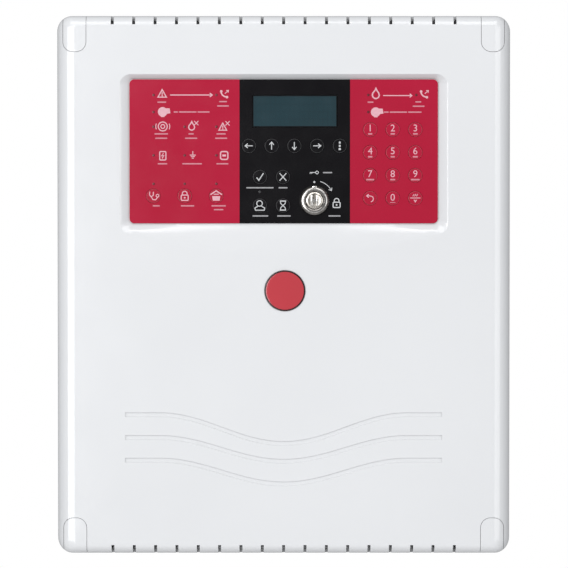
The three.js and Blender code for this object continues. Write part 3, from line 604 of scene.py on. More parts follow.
def make_looks():
    """Every material of the model, by the name that the pieces use."""
    # colour of the painted shade that ambient occlusion lays in the box's corners and gaps
    box_hollow_shade = (0.34, 0.33, 0.31)
    return {
        # painted shade in the corners and gaps of the white moulding and of the box
        "white": plastic("white_moulding", WHITE, WHITE_2, (0.09, 0.14), dust_and_shade_colour=(0.4, 0.4, 0.4),
                         specular=0.75),
        "box": plastic("box_moulding", WHITE, (0.62, 0.63, 0.65), (0.3, 0.4), dust_and_shade_colour=box_hollow_shade, depth=0.04),
        "film": film_look(),
        "key_red": key_look("key_red", RED, RED_2),
        "key_black": key_look("key_black", BLACK, BLACK_2),
        # lighter rings painted round the keys' edges as highlights
        "rim_highlight_red": plastic("key_rim_highlight_red", (0.62, 0.09, 0.12), (0.56, 0.07, 0.1)),
        "rim_highlight_black": plastic("key_rim_highlight_black", (0.07, 0.07, 0.075), (0.05, 0.05, 0.055)),
        "ink": ink_look("white_ink", (0.64, 0.36, 0.41), (0.58, 0.31, 0.36)),
        "ink_black": ink_look("white_ink_on_black", (0.5, 0.51, 0.52), (0.43, 0.44, 0.45)),
        "ink_faint": ink_look("label_ink", (0.52, 0.2, 0.25), (0.46, 0.16, 0.2)),
        "ink_faint_black": ink_look("label_ink_on_black", (0.30, 0.30, 0.31), (0.24, 0.24, 0.25)),
        "lamp": plastic("lamp_window", (0.13, 0.012, 0.02), (0.09, 0.01, 0.016), (0.15, 0.25)),
        "lamp_black": plastic("lamp_window_dark", (0.035, 0.035, 0.038), (0.022, 0.022, 0.025),
                              (0.15, 0.25)),
        "glass": display_look(),
        "enamel": plastic("enamel", (0.47, 0.034, 0.048), (0.41, 0.03, 0.042), (0.1, 0.16), 400, coat=0.6),
        "enamel_dark": plastic("enamel_dark", (0.035, 0.008, 0.01), (0.02, 0.006, 0.008), (0.15, 0.25), 400),
        "chrome_dark": metal("dark_chrome", (0.30, 0.285, 0.27), (0.16, 0.15, 0.14), (0.16, 0.28)),
        "chrome": metal("bright_chrome", (0.82, 0.80, 0.77), (0.6, 0.585, 0.56), (0.08, 0.18)),
        "nickel": metal("nickel", (0.62, 0.59, 0.54), (0.45, 0.42, 0.38), (0.18, 0.3)),
        "zinc": metal("zinc_steel", (0.56, 0.575, 0.6), (0.40, 0.41, 0.43), (0.26, 0.42), (1, 1, 1), 90),
        "steel": metal("brushed_steel", (0.6, 0.6, 0.61), (0.42, 0.42, 0.43), (0.22, 0.36), (1, 14, 14)),
        "board": board_look(),
        "carrier": plastic("carrier_black", (0.025, 0.025, 0.028), (0.018, 0.018, 0.02), (0.4, 0.55)),
        "part": plastic("component_black", (0.02, 0.02, 0.022), (0.013, 0.013, 0.015), (0.35, 0.5), 1200),
        "green": plastic("terminal_green", (0.03, 0.22, 0.075), (0.022, 0.17, 0.06), (0.34, 0.46), 1200),
        "grey": plastic("terminal_grey", (0.32, 0.325, 0.33), (0.26, 0.265, 0.27), (0.4, 0.52), 1200),
        "cream": plastic("connector_cream", (0.62, 0.58, 0.48), (0.55, 0.51, 0.42), (0.4, 0.5), 1200),
        "blue": plastic("relay_blue", (0.02, 0.09, 0.3), (0.016, 0.07, 0.24), (0.3, 0.42), 1200),
        # a lighter grey in the battery case's corners and gaps: dust
        "case": plastic("battery_case", (0.055, 0.057, 0.062), (0.04, 0.042, 0.046), (0.42, 0.58), 900,
                        dust_and_shade_colour=(0.16, 0.155, 0.15), depth=0.06),
        "label": plastic("plain_label", (0.55, 0.555, 0.56), (0.5, 0.505, 0.51), (0.3, 0.42)),
        "label_band": plastic("label_band", (0.03, 0.12, 0.3), (0.025, 0.1, 0.26), (0.3, 0.42)),
        "lead_red": plastic("lead_red", (0.5, 0.015, 0.012), (0.4, 0.012, 0.01), (0.35, 0.5), 900),
        "lead_black": plastic("lead_black", (0.014, 0.014, 0.015), (0.009, 0.009, 0.01), (0.35, 0.5), 900),
        "ribbon": ribbon_look(),
        "clear": plastic("fuse_glass", (0.5, 0.52, 0.53), (0.42, 0.44, 0.45), (0.05, 0.1), 300, coat=0.5),
        "floor": plastic("studio_floor", (0.8, 0.8, 0.8), (0.77, 0.77, 0.77), (0.6, 0.7), 300),
    }


LOOKS = make_looks()


# ---------------------------------------------------------------- front cover
def cover_ring(lean, rear=None, inset=0.0):
    """One loop of the cover's outside. lean runs from 0 on the flat face to a quarter turn at the side
    wall; with rear given, the loop is the side wall's outline there. inset moves the surface inwards."""
    points = []
    corner = (HALF_W - CORNER_R, HALF_H - CORNER_R)
    inner = (HALF_W - 15, HALF_H - 9.5)
    for sx, sz, start in ((-1, -1, 1.0), (1, -1, 1.5), (1, 1, 0.0), (-1, 1, 0.5)):
        for i in range(ARC + 1):
            turn = math.pi * (start + i / ARC / 2)
            nx, nz = math.cos(turn), math.sin(turn)
            outer_x = sx * corner[0] + (CORNER_R - inset) * nx
            outer_z = sz * corner[1] + (CORNER_R - inset) * nz
            flat_x = sx * inner[0] + 2 * nx
            flat_z = sz * inner[1] + 2 * nz
            drop = 7.5 + 5.5 * nx * nx - inset
            share = math.sin(lean)
            x = flat_x + (outer_x - flat_x) * share
            z = flat_z + (outer_z - flat_z) * share
            y = FACE + inset + drop * (1 - math.cos(lean))
            points.append((x, y if rear is None else rear, z))
    return points


LEANS = [math.pi / 2 * i / 12 for i in range(13)]


def cover_solid(rear, inset=0.0):
    """Everything inside the cover's outside surface, back to the given depth."""
    front = [cover_ring(lean, None, inset) for lean in LEANS]
    return Form().loft(front + [cover_ring(math.pi / 2, rear, inset)])


def cover_shell():
    """The moulded shell: outside, rim and inside as one closed surface."""
    rings = [cover_ring(lean) for lean in LEANS]
    rings += [cover_ring(math.pi / 2, COVER_REAR - 0.5)]
    rings += [cover_ring(math.pi / 2, COVER_REAR, 0.4)]
    rings += [cover_ring(math.pi / 2, COVER_REAR, WALL)]
    rings += [cover_ring(lean, None, WALL) for lean in reversed(LEANS)]
    return Form().loft(rings)


RIM = {"x": 117.3, "top": 150.5, "side": 38, "middle": 20, "r": 9.0}
FLOOR = {"x": 110.4, "top": 147.2, "bottom": 43.7, "r": 3.8}


def recess_rim(x):
    """Height of the scoop's lower rim: an arc between the two sides of the recess."""
    share = min(1, abs(x) / RIM["x"])
    return RIM["middle"] + (RIM["side"] - RIM["middle"]) * share * share


def recess_loop(depth_share):
    """A loop between the recess's floor, at 0, and its rim on the face, at 1."""
    steps = 32

    def between(low, high):
        return low + (high - low) * depth_share

    half = between(FLOOR["x"], RIM["x"])
    top = between(FLOOR["top"], RIM["top"])
    r = between(FLOOR["r"], RIM["r"])
    points = []
    # along the bottom, then up the right side, over the top and down the left side
    for i in range(steps + 1):
        across = 2 * i / steps - 1
        x = across * (half - r)
        low_z = between(FLOOR["bottom"], recess_rim(x))
        points.append((x, low_z, 1.0))
    for quarter, (sx, up) in enumerate(((1, False), (1, True), (-1, True), (-1, False))):
        base = top - r if up else between(FLOOR["bottom"], recess_rim(half - r)) + r
        start = (1.5, 0.0, 0.5, 1.0)[quarter]
        for i in range(1, ARC + 1):
            turn = math.pi * (start + i / ARC / 2)
            dish = {0: 1 - i / ARC, 3: i / ARC}.get(quarter, 0.0)
            points.append((sx * (half - r) + r * math.cos(turn), base + r * math.sin(turn), dish))
    return points


def recess_cutter():
    """The recess: sloping sides, and a scoop below that is steep at the fascia and rolls out flat."""
    depth = RECESS_FLOOR - FACE
    steps = 12
    rings = []
    for i in range(steps + 1):
        share = i / steps
        ring = []
        for x, z, dish in recess_loop(share):
            roll = 0.25 + 0.75 * dish
            risen = share * (1 - roll) + (1 - (1 - share) ** 2) * roll
            ring.append((x, RECESS_FLOOR - depth * risen - (0.002 if i == steps else 0), z))
        rings.append(ring)
    rings.append([(x, FACE - 2, z) for x, _, z in rings[-1]])
    return Form().loft(rings)


CAP_HALF = 8.2
CAP_END = HALF_H - 25.6
POCKET_FLOOR = FACE + 12
CAP_THICK = 2.2
CORNERS = (("upper_left", -1, 1), ("upper_right", 1, 1), ("lower_left", -1, -1), ("lower_right", 1, -1))
SCREW_X, SCREW_Z = middle("cover_screw_upper_right")


def cap_outline(sx, sz, grow=0.0, past=6.0, steps=9):
    """The corner cap in the front view: round at its inner end, and past the edge at the outer one."""
    half = CAP_HALF + grow
    end = CAP_END - grow
    r = half - 1.2
    cx = sx * SCREW_X
    points = [(cx - half, HALF_H + past)]
    points += [(a, 2 * (end + r) - b) for a, b in arc(cx - half + r, end + r, r, 180, 90, steps)]
    points += [(a, 2 * (end + r) - b) for a, b in arc(cx + half - r, end + r, r, 90, 0, steps)]
    points += [(cx + half, HALF_H + past)]
    points = [(x, sz * z) for x, z in points]
    return points if sz > 0 else points[::-1]


VENT = {"count": 17, "pitch": 15.25, "width": 2.1, "into": 6.2, "front": 10, "rib": 2.2, "along": 30}


def vent_cutter():
    """Slots over the top and bottom edges, each with a cross rib a little way in."""
    form = Form()
    for sz in (-1, 1):
        for i in range(VENT["count"]):
            x = (i - (VENT["count"] - 1) / 2) * VENT["pitch"]
            zs = (sz * (HALF_H - VENT["into"]), sz * (HALF_H + 2))
            xs = (x - VENT["width"] / 2, x + VENT["width"] / 2)
            form.block(xs, (FACE - 1, FACE + VENT["front"]), zs, 0)
            form.block(xs, (FACE + VENT["front"] + VENT["rib"], FACE + VENT["along"]), zs, 0)
    return form


WAVE = {"half": 113, "bend": 88, "wide": 1.75, "narrow": 1.2, "depth": 0.8}
WAVES = ((-92.5, 20.6), (-108.8, 17), (-125, 17))


def wave_cutter():
    """Three grooves: level at the ends, and down to the middle along half a cosine each side."""
    form = Form()
    for level, dip in WAVES:
        line = [(-WAVE["half"], level)]
        for i in range(61):
            x = -WAVE["bend"] + 2 * WAVE["bend"] * i / 60
            line.append((x, level - dip * (1 + math.cos(math.pi * x / WAVE["bend"])) / 2))
        line.append((WAVE["half"], level))
        rings = []
        for x, z in line:
            wide, narrow = WAVE["wide"], WAVE["narrow"]
            floor = FACE + WAVE["depth"]
            rings.append([
                (x, FACE - 1, z - wide),
                (x, FACE - 0.001, z - wide),
                (x, floor - 0.1, z - narrow),
                (x, floor, z),
                (x, floor - 0.1, z + narrow),
                (x, FACE - 0.001, z + wide),
                (x, FACE - 1, z + wide),
            ])
        form.loft(rings)
    return form


KNUCKLES = {"heights": (115, -115), "half": 7}
EMBLEM_X, EMBLEM_Z = middle("emblem")
EMBLEM_R = (limits("emblem")[0][1] - limits("emblem")[0][0]) / 2
LOCK_X, LOCK_Z = middle("key_switch_body")


def front_cover():
    """The cover: shell, backing of the recess, cap pockets, screw bosses and the hinge bead."""
    pan_rear = RECESS_FLOOR + 2.7
    pan = Form().block((-HALF_W + 42, HALF_W - 42), (FACE + 1, pan_rear), (15, 154), 0)
    pockets, sockets, bores, bosses = Form(), Form(), Form(), Form()
    for _, sx, sz in CORNERS:
        x, z = sx * SCREW_X, sz * SCREW_Z
        pockets.loft([at(cap_outline(sx, sz, WALL, -0.4), y) for y in (POCKET_FLOOR + WALL, FACE + 3.1)])
        sockets.loft([at(cap_outline(sx, sz, FIT), y) for y in (POCKET_FLOOR, FACE - 1)])
        bosses.turned(x, z, [(5.6, COVER_REAR), (6, COVER_REAR - 0.5), (6, POCKET_FLOOR + 1)])
        bores.turned(x, z, [(2.3, COVER_REAR + 1), (2.3, FACE)])
    window = Form().block((-105, 105), (FACE, pan_rear + 1), (49, 141), 0)
    seat = Form().turned(EMBLEM_X, EMBLEM_Z, [(EMBLEM_R + 0.3, FACE + 0.5), (EMBLEM_R + 0.3, FACE - 1)], 72)
    bead = Form().post(HINGE["x"], HINGE["y"], HINGE["r"], -178, 178, 28, 0.4)
    web = Form().block((-HALF_W + 0.1, HINGE["x"] - 0.6), (HINGE["y"], COVER_REAR - 3), (-177.6, 177.6), 0)
    notches = Form()
    reach = HINGE["r"] + 1.2
    high = KNUCKLES["half"] + FIT
    for z in KNUCKLES["heights"]:
        xs = (HINGE["x"] - reach, HINGE["x"] + reach)
        notches.block(xs, (HINGE["y"] - reach, HINGE["y"] + reach), (z - high, z + high), 0)
    steps = [(ADD, pan), (ADD, pockets), (KEEP, cover_solid(COVER_REAR + 1, -0.01)), (ADD, bosses)]
    steps += [(ADD, bead), (ADD, web), (CUT, notches)]
    steps += [(CUT, recess_cutter()), (CUT, window), (CUT, sockets), (CUT, bores)]
    steps += [(CUT, vent_cutter()), (CUT, wave_cutter()), (CUT, seat)]
    data = carve(cover_shell(), "front_cover_moulding", steps)
    return finish_piece("front_cover_moulding", data, [LOOKS["white"]], "cover", ["front_cover"],
                        28, True)


def corner_cap(name, sx, sz):
    """A cap that carries on the cover's rounded surface, hollow behind, with two clip legs."""
    whole = Form()
    outline = cap_outline(sx, sz)
    whole.loft([at(outline, POCKET_FLOOR - 1), at(outline, FACE - 1)])
    steps = [(KEEP, cover_solid(-70)), (CUT, cover_solid(-60, CAP_THICK))]
    data = carve(whole, "corner_cap", steps)
    cap = finish_piece(f"cap_{name}_skin", data, [LOOKS["white"]], f"cap_{name}", [f"corner_cap_{name}"],
                       28, True)
    edge = cap.modifiers.new("broken edges", "BEVEL")
    edge.width = 0.35 * MM
    edge.segments = 2
    edge.angle_limit = math.radians(50)
    cap.modifiers.move(1, 0)
    legs = Form()
    for side in (-1, 1):
        x = sx * SCREW_X + side * 6.6
        zs = (sz * SCREW_Z - 4, sz * SCREW_Z + 4)
        legs.block((x - 0.6, x + 0.6), (POCKET_FLOOR - 0.6, FACE + 4.2), zs, 0.3)
        barb = (POCKET_FLOOR - 2.6, POCKET_FLOOR - 0.9)
        legs.block((x - side * 0.2, x + side * 1.0), barb, (zs[0] + 1, zs[1] - 1), 0.25)
    finish_piece(f"cap_{name}_legs", legs.mesh("legs"), [LOOKS["white"]], f"cap_{name}", ())


def cover_screw(name, sx, sz):
    """A quarter-turn screw: domed slotted head and a shank with a tapered end."""
    x, z = sx * SCREW_X, sz * SCREW_Z
    front, rear = limits(f"cover_screw_{name}")[1]
    profile = [(1.2, rear), (2, rear - 1), (2, POCKET_FLOOR - 0.8), (2, POCKET_FLOOR - 0.3)]
    profile += [(4.2, POCKET_FLOOR - 0.3), (4.4, POCKET_FLOOR - 0.5), (4.4, front + 1.0)]
    profile += [(4.1, front + 0.45), (3.3, front + 0.12), (0.6, front)]
    slot = Form().block((x - 5, x + 5), (front - 1, front + 1.4), (z - 0.6, z + 0.6), 0)
    data = carve(Form().turned(x, z, profile), "screw", [(CUT, slot)])
    finish_piece(f"screw_{name}_turned", data, [LOOKS["zinc"]], f"screw_{name}", [f"cover_screw_{name}"])


front_cover()
for corner in CORNERS:
    corner_cap(*corner)
    cover_screw(*corner)


# ---------------------------------------------------------------- fascia film
KEYS = sorted(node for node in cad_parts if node.startswith("key_") and "switch" not in node)
BODY_OF = {node: "button_" + node[4:] for node in KEYS}


def in_black(x):
    """Whether a mark at x stands on the black area."""
    return PANEL_X[0] < x < PANEL_X[1]


WARNING_X = (-92.7, -70.5, -47.9)
FIRE_X = (60.4, 94.6)
TOP_ROWS = (135.6, 123.5)
LAMPS = [(WARNING_X[0], TOP_ROWS[0]), (WARNING_X[2], TOP_ROWS[0]), (WARNING_X[0], TOP_ROWS[1])]
LAMPS += [(x, z) for z in (113, 92.6, 72.3) for x in WARNING_X]
LAMPS += [(FIRE_X[0], TOP_ROWS[0]), (FIRE_X[1], TOP_ROWS[0]), (FIRE_X[0], TOP_ROWS[1]), (-17, 66.6)]


def fascia_film():
    """The film with a hole for each key, lamp, the display and the lock, and the lamp windows."""
    (x0, x1), _, (z0, z1) = limits("fascia_film")
    sheet = Form().plate(rounded(x0, x1, z0, z1, 3.5), FILM_REAR, FILM_FRONT, 0.2)
    holes = Form()
    for key in KEYS:
        holes.turned(*middle(key), [(5.1, FILM_REAR + 1), (5.1, FILM_FRONT + 0.2), (5.4, FILM_FRONT - 0.1),
                                    (5.4, FILM_FRONT - 1)])
    (wx0, wx1), _, (wz0, wz1) = limits("display_window")
    holes.block((wx0 - FIT, wx1 + FIT), (FILM_REAR + 1, FILM_FRONT - 1), (wz0 - FIT, wz1 + FIT), 0)
    holes.turned(LOCK_X, LOCK_Z, [(8.9, FILM_REAR + 1), (8.9, FILM_FRONT - 1)], 56)
    for x, z in LAMPS:
        holes.turned(x, z, [(0.95, FILM_FRONT + 0.25), (1.05, FILM_FRONT - 1)], 16)
    data = carve(sheet, "film", [(CUT, holes)])
    finish_piece("fascia_film_sheet", data, [LOOKS["film"]], "cover", ["fascia_film"],
                 30, True)
    windows = Form()
    for x, z in LAMPS:
        windows.kind = 1 if in_black(x) else 0
        profile = [(0.93, FILM_FRONT + 0.24), (0.9, FILM_FRONT + 0.08), (0.3, FILM_FRONT + 0.03)]
        windows.turned(x, z, profile, 16)
    finish_piece("lamp_windows", windows.mesh("lamps"), [LOOKS["lamp"], LOOKS["lamp_black"]], "cover", ())


# printed marks: every function draws one on a form, round its own centre, facing the front
def warning_triangle(form, x, z, y, size=6.0):
    points = [(x - size / 2, z - size * 0.42), (x + size / 2, z - size * 0.42), (x, z + size * 0.48)]
    form.line(points, size * 0.13, y, True)
    form.line([(x, z + size * 0.16), (x, z - size * 0.13)], size * 0.13, y)
    form.flat(circle(x, z - size * 0.26, size * 0.08, 10), y)


def arrow(form, points, width, head, y):
    """A line with an open arrow head at its last point."""
    form.line(points, width, y)
    tip = Vector(points[-1])
    along = (tip - Vector(points[-2])).normalized()
    side = Vector((-along.y, along.x))
    wings = [tip - along * head + side * head * 0.8, tip, tip - along * head - side * head * 0.8]
    form.line([tuple(p) for p in wings], width, y)


def handset(form, x, z, y):
    """A telephone handset with a small arrow leaving it."""
    form.line(arc(x + 1.6, z + 2.2, 3.9, 175, 275, 10), 1.0, y)
    form.flat(circle(x - 2.2, z + 2.2, 0.95, 12), y)
    form.flat(circle(x + 1.9, z - 1.9, 0.95, 12), y)
    arrow(form, [(x + 0.4, z + 0.6), (x + 3.0, z + 2.9)], 0.55, 1.3, y)


def sounder_dome(form, x, z, y):
    """A beacon: a filled disc with rings and a small horn beside it."""
    form.flat(circle(x, z, 3.4, 28), y)
    form.flat([(x + 2.9, z - 1.4), (x + 5.6, z - 1.0), (x + 5.0, z + 2.4), (x + 2.6, z + 2.6)], y)
    form.flat([(x - 1.4, z - 2.8), (x + 1.6, z - 2.8), (x + 1.2, z - 3.7), (x - 1.0, z - 3.7)], y)


def eye(form, x, z, y):
    form.line(arc(x, z, 3.2, 0, 360, 28)[:-1], 0.75, y, True)
    form.line(arc(x, z, 1.4, 0, 360, 18)[:-1], 0.7, y, True)
    form.line(arc(x, z, 5.0, -24, 24, 6), 0.6, y)
    form.line(arc(x, z, 5.0, 156, 204, 6), 0.6, y)


def flame(form, x, z, y, size=1.0, width=0.8):
    """A drop with a leaning tip."""
    right = [(0.1, 3.9), (0.9, 2.2), (2.0, 0.7), (2.5, -1.0), (1.9, -2.5), (0.6, -3.3)]
    left = [(-0.6, -3.3), (-1.9, -2.5), (-2.5, -1.0), (-2.2, 0.5), (-1.3, 1.6), (-0.5, 2.6)]
    outline = [(x + a * size, z + b * size) for a, b in right + left]
    form.line(outline, width * size, y, True)


def crossed(form, x, z, y):
    for turn in (-1, 1):
        form.line([(x - 1.5, z - 1.5 * turn), (x + 1.5, z + 1.5 * turn)], 0.6, y)


def document(form, x, z, y):
    form.line(rounded(x - 2.2, x + 2.2, z - 3, z + 3, 0.6, 2), 0.8, y, True)
    form.line([(x + 0.5, z + 1.8), (x - 0.9, z - 0.1), (x + 0.7, z + 0.1), (x - 0.5, z - 1.9)], 0.6, y)


def earth_mark(form, x, z, y):
    form.line([(x, z + 3.0), (x, z + 0.2)], 0.6, y)
    for drop, half in ((0.2, 2.1), (-0.9, 1.4), (-2.0, 0.7)):
        form.line([(x - half, z + drop), (x + half, z + drop)], 0.65, y)


def chip(form, x, z, y):
    form.line(rounded(x - 2.6, x + 2.6, z - 2.8, z + 2.8, 1.2, 4), 0.9, y, True)
    form.flat(rounded(x - 1.3, x + 1.3, z - 0.7, z + 0.7, 0.2, 2), y)


def stethoscope(form, x, z, y):
    """Two prongs that meet in a loop with a round end."""
    prongs = [(-2.4, 3.0), (-2.6, 0.8), (-1.5, -0.6), (0.1, 0.4), (0.2, 2.9)]
    form.line([(x + a, z + b) for a, b in prongs], 0.65, y)
    form.line([(x - 1.3, z - 0.7), (x - 0.2, z - 2.6), (x + 1.8, z - 2.8), (x + 3.0, z - 1.2)], 0.65, y)
    form.line(circle(x + 3.1, z + 0.1, 1.0, 14), 0.6, y, True)


def padlock(form, x, z, y):
    form.line(rounded(x - 2.5, x + 2.5, z - 3.2, z + 0.6, 0.7, 3), 0.75, y, True)
    form.line([(x - 1.7, z + 0.6), *arc(x, z + 1.6, 1.7, 180, 0, 8), (x + 1.7, z + 0.6)], 0.7, y)
    form.flat(circle(x, z - 1.3, 0.65, 10), y)


def house_sound(form, x, z, y):
    form.line([(x - 4.1, z + 0.9), (x, z + 3.6), (x + 4.1, z + 0.9)], 0.9, y)
    form.flat([(x - 2.4, z - 3.4), (x + 2.4, z - 3.4), (x + 2.9, z - 0.2), (x - 2.9, z - 0.2)], y)
    form.line([(x - 1.8, z + 1.2), (x + 1.8, z + 1.2)], 0.7, y)


def tick(form, x, z, y):
    form.line([(x - 2.3, z - 0.4), (x - 0.7, z - 2.4), (x + 2.6, z + 2.7)], 0.75, y)


def cross(form, x, z, y):
    for turn in (-1, 1):
        form.line([(x - 2.4, z - 2.7 * turn), (x + 2.4, z + 2.7 * turn)], 0.65, y)


def person(form, x, z, y):
    form.line(circle(x - 0.2, z + 1.5, 2.0, 20), 0.65, y, True)
    shoulders = [(-1.4, -0.5), (-3.5, -1.7), (-3.1, -3.3), (3.1, -3.3), (3.5, -1.7), (1.2, -0.5)]
    form.line([(x + a, z + b) for a, b in shoulders], 0.65, y)


def hourglass(form, x, z, y):
    form.line([(x - 2.2, z + 3.2), (x + 2.2, z + 3.2)], 0.8, y)
    form.line([(x - 2.2, z - 3.2), (x + 2.2, z - 3.2)], 0.8, y)
    form.line([(x - 1.8, z + 3), (x - 1.6, z + 1.5), (x + 1.6, z - 1.5), (x + 1.8, z - 3)], 0.6, y)
    form.line([(x + 1.8, z + 3), (x + 1.6, z + 1.5), (x - 1.6, z - 1.5), (x - 1.8, z - 3)], 0.6, y)


def return_arrow(form, x, z, y):
    bend = [(0.6, -2.7), (1.9, -1.9), (2.4, -0.3), (1.7, 1.1), (-0.2, 1.6), (-2.5, 1.6)]
    arrow(form, [(x + a, z + b) for a, b in bend], 0.6, 1.5, y)


def enter_mark(form, x, z, y):
    form.line([(x - 3.7, z + 0.1), (x + 3.7, z + 0.1)], 0.55, y)
    for shift in (-1.3, 0, 1.3):
        form.line([(x + shift - 0.5, z + 1.3), (x + shift + 0.5, z + 2.9)], 0.5, y)
    form.line([(x - 0.9, z - 1.1), (x, z - 2.7), (x + 0.9, z - 1.1)], 0.6, y)


def menu_mark(form, x, z, y):
    for height, wide in ((2.3, 1.3), (0, 1.3), (-2.3, 1.6)):
        form.flat(rounded(x - wide / 2, x + wide / 2, z + height - 0.75, z + height + 0.75, 0.3, 2), y)


def words(form, x, z, widths, y, height=0.95):
    """Neutral bars where the real panel has wording: one bar a word, centred on (x, z)."""
    gap = 0.7
    start = x - (sum(widths) + gap * (len(widths) - 1)) / 2
    for width in widths:
        form.flat(rounded(start, start + width, z - height / 2, z + height / 2, 0.3, 2), y)
        start += width + gap


def keyring(form, x, z, y):
    form.line(circle(x + 2.0, z, 1.0, 14), 0.5, y, True)
    form.line([(x + 1.0, z), (x - 3.1, z)], 0.5, y)
    for shift in (-2.9, -1.7):
        form.line([(x + shift, z), (x + shift, z - 1.0)], 0.45, y)


def film_print():
    """Marks printed on the film itself: 0 white on red, 1 white on black, 2 and 3 the fainter wording."""
    y = FILM_FRONT - 0.04
    form = Form()
    warning_triangle(form, -86.6, 136.6, y)
    arrow(form, [(-80.9, 135.6), (-50.9, 135.6)], 0.75, 1.7, y)
    handset(form, -42.3, 136.0, y)
    sounder_dome(form, -86.3, 123.6, y)
    eye(form, -86.2, 113.2, y)
    flame(form, -65.6, 113.4, y, 0.85, 0.95)
    crossed(form, -62.3, 115.6, y)
    warning_triangle(form, -43.4, 112.9, y, 5.6)
    crossed(form, -40.0, 115.4, y)
    document(form, -86.2, 92.3, y)
    earth_mark(form, -64.8, 92.6, y)
    chip(form, -42.4, 92.5, y)
    flame(form, 65.7, 136.4, y, 1.0, 0.95)
    arrow(form, [(70.9, 135.2), (91.4, 135.2)], 0.7, 1.5, y)
    handset(form, 100.2, 135.9, y)
    sounder_dome(form, 65.6, 123.4, y)
    form.kind = 2
    words(form, -86.9, 130.5, (6.3,), y)
    words(form, -43.2, 130.9, (5.6,), y)
    words(form, -43.2, 127.8, (8.4,), y)
    words(form, -65.6, 123.5, (3.0, 12.6, 8.6), y)
    for x, upper, lower in ((-87.3, (9.6,), (8.6,)), (-66.0, (3.8,), (8.8,)), (-44.6, (6.6,), (8.6,))):
        words(form, x, 107.9, upper, y)
        words(form, x, 104.8, lower, y)
    for x, width in ((-86.4, 6.8), (-65.3, 14.0), (-43.7, 8.6)):
        words(form, x, 86.6, (width,), y)
    words(form, -90.9, 56.6, (5.0,), y)
    words(form, -68.6, 56.6, (9.6,), y)
    words(form, -46.4, 56.6, (10.2,), y)
    words(form, -46.4, 53.9, (6.8,), y)
    words(form, 61.9, 130.5, (4.2,), y)
    words(form, 96.0, 130.7, (4.2,), y)
    words(form, 96.2, 127.6, (8.4,), y)
    words(form, 84.9, 123.4, (3.4, 12.4, 9.6), y)
    form.kind = 1
    keyring(form, 21.8, 80.4, y)
    form.flat(circle(21.9, 73.6, 0.75, 14), y)
    arrow(form, arc(22.4, 61.2, 13.3, 74, 28, 10), 0.5, 1.7, y)
    padlock(form, 37.8, 58.6, y)
    form.kind = 3
    words(form, 31.3, 80.3, (6.6,), y)
    words(form, 36.3, 49.4, (8.6,), y)
    words(form, -16.9, 69.5, (19.4,), y)
    words(form, -0.4, 69.5, (6.4,), y)
    words(form, -16.6, 49.4, (11.2,), y)
    words(form, 0.2, 49.4, (9.6,), y)
    names = ("ink", "ink_black", "ink_faint", "ink_faint_black")
    looks = [LOOKS[name] for name in names]
    finish_piece("film_print", form.mesh("print", False), looks, "cover", ())


MARKS = {
    "key_back": return_arrow,
    "key_enter": enter_mark,
    "key_menu": menu_mark,
    "key_accept": tick,
    "key_cancel": cross,
    "key_attend": person,
    "key_delay": hourglass,
    "key_test": stethoscope,
    "key_disable": padlock,
    "key_sounder": house_sound,
}
ARROWS = {"key_left": (-1, 0), "key_up": (0, 1), "key_down": (0, -1), "key_right": (1, 0)}
# width of the neutral bar under each digit
SUB_LABELS = {"key_1": 3.0, "key_2": 3.2, "key_3": 3.4, "key_4": 3.2, "key_5": 3.0, "key_6": 3.6,
              "key_7": 5.6, "key_8": 3.6, "key_9": 6.2}


def key_piece(node):
    """One key: a crowned disc with a lighter ring painted as a highlight at its edge, its stem, and the mark
    printed on it.
    """
    x, z = middle(node)
    _, (front, rear), _ = limits(node)
    dark = in_black(x)
    form = Form()
    stem = [(1.6, rear), (1.9, rear - 0.3), (1.9, front + 0.9)]
    disc = [(4.7, front + 0.9), (4.8, front + 0.8), (4.8, front + 0.18)]
    crown = [(4.66, front + 0.06), (4.4, front), (4.3, front + 0.02)]
    form.turned(x, z, stem + disc + crown, 44)
    # painted highlight: a thin ring round the key's edge, lighter than its face
    form.kind = 3
    form.line(circle(x, z, 4.86, 44), 0.12, front + 0.05, True)
    y = front - 0.03
    form.kind = 1
    digit = node[4:]
    if digit.isdigit():
        form.digit(digit, x, z + (0.6 if digit == "0" else 1.1), 7.0, y)
        form.kind = 2
        if digit == "0":
            form.line([(x - 1.9, z - 3.1), (x + 1.9, z - 3.1)], 0.5, y)
        else:
            words(form, x, z - 3.1, (SUB_LABELS[node],), y, 1.1)
    elif node in ARROWS:
        dx, dz = ARROWS[node]
        arrow(form, [(x - 2.7 * dx, z - 2.7 * dz), (x + 2.7 * dx, z + 2.7 * dz)], 0.65, 1.9, y)
    else:
        MARKS[node](form, x, z, y)
    shade = "_black" if dark else ""
    looks = [LOOKS["key_black" if dark else "key_red"], LOOKS["ink" + shade], LOOKS["ink_faint" + shade],
             LOOKS["rim_highlight_black" if dark else "rim_highlight_red"]]
    finish_piece(f"{node}_face", form.mesh(node), looks, BODY_OF[node], [node], weighted=True)


fascia_film()
film_print()
for key_node in KEYS:
    key_piece(key_node)


# ---------------------------------------------------------------- display, emblem and key switch
def display_window():
    """The pane over the display, with a thin dark printed frame."""
    (x0, x1), (front, rear), (z0, z1) = limits("display_window")
    form = Form().plate(rounded(x0, x1, z0, z1, 0.5, 3), rear, front + 0.02, 0.15)
    form.kind = 1
    form.line(rounded(x0 + 0.35, x1 - 0.35, z0 + 0.35, z1 - 0.35, 0.4, 3), 0.7, front - 0.01, True)
    finish_piece("display_window_pane", form.mesh("pane"), [LOOKS["glass"], LOOKS["key_black"]], "cover",
                 ["display_window"], weighted=True)


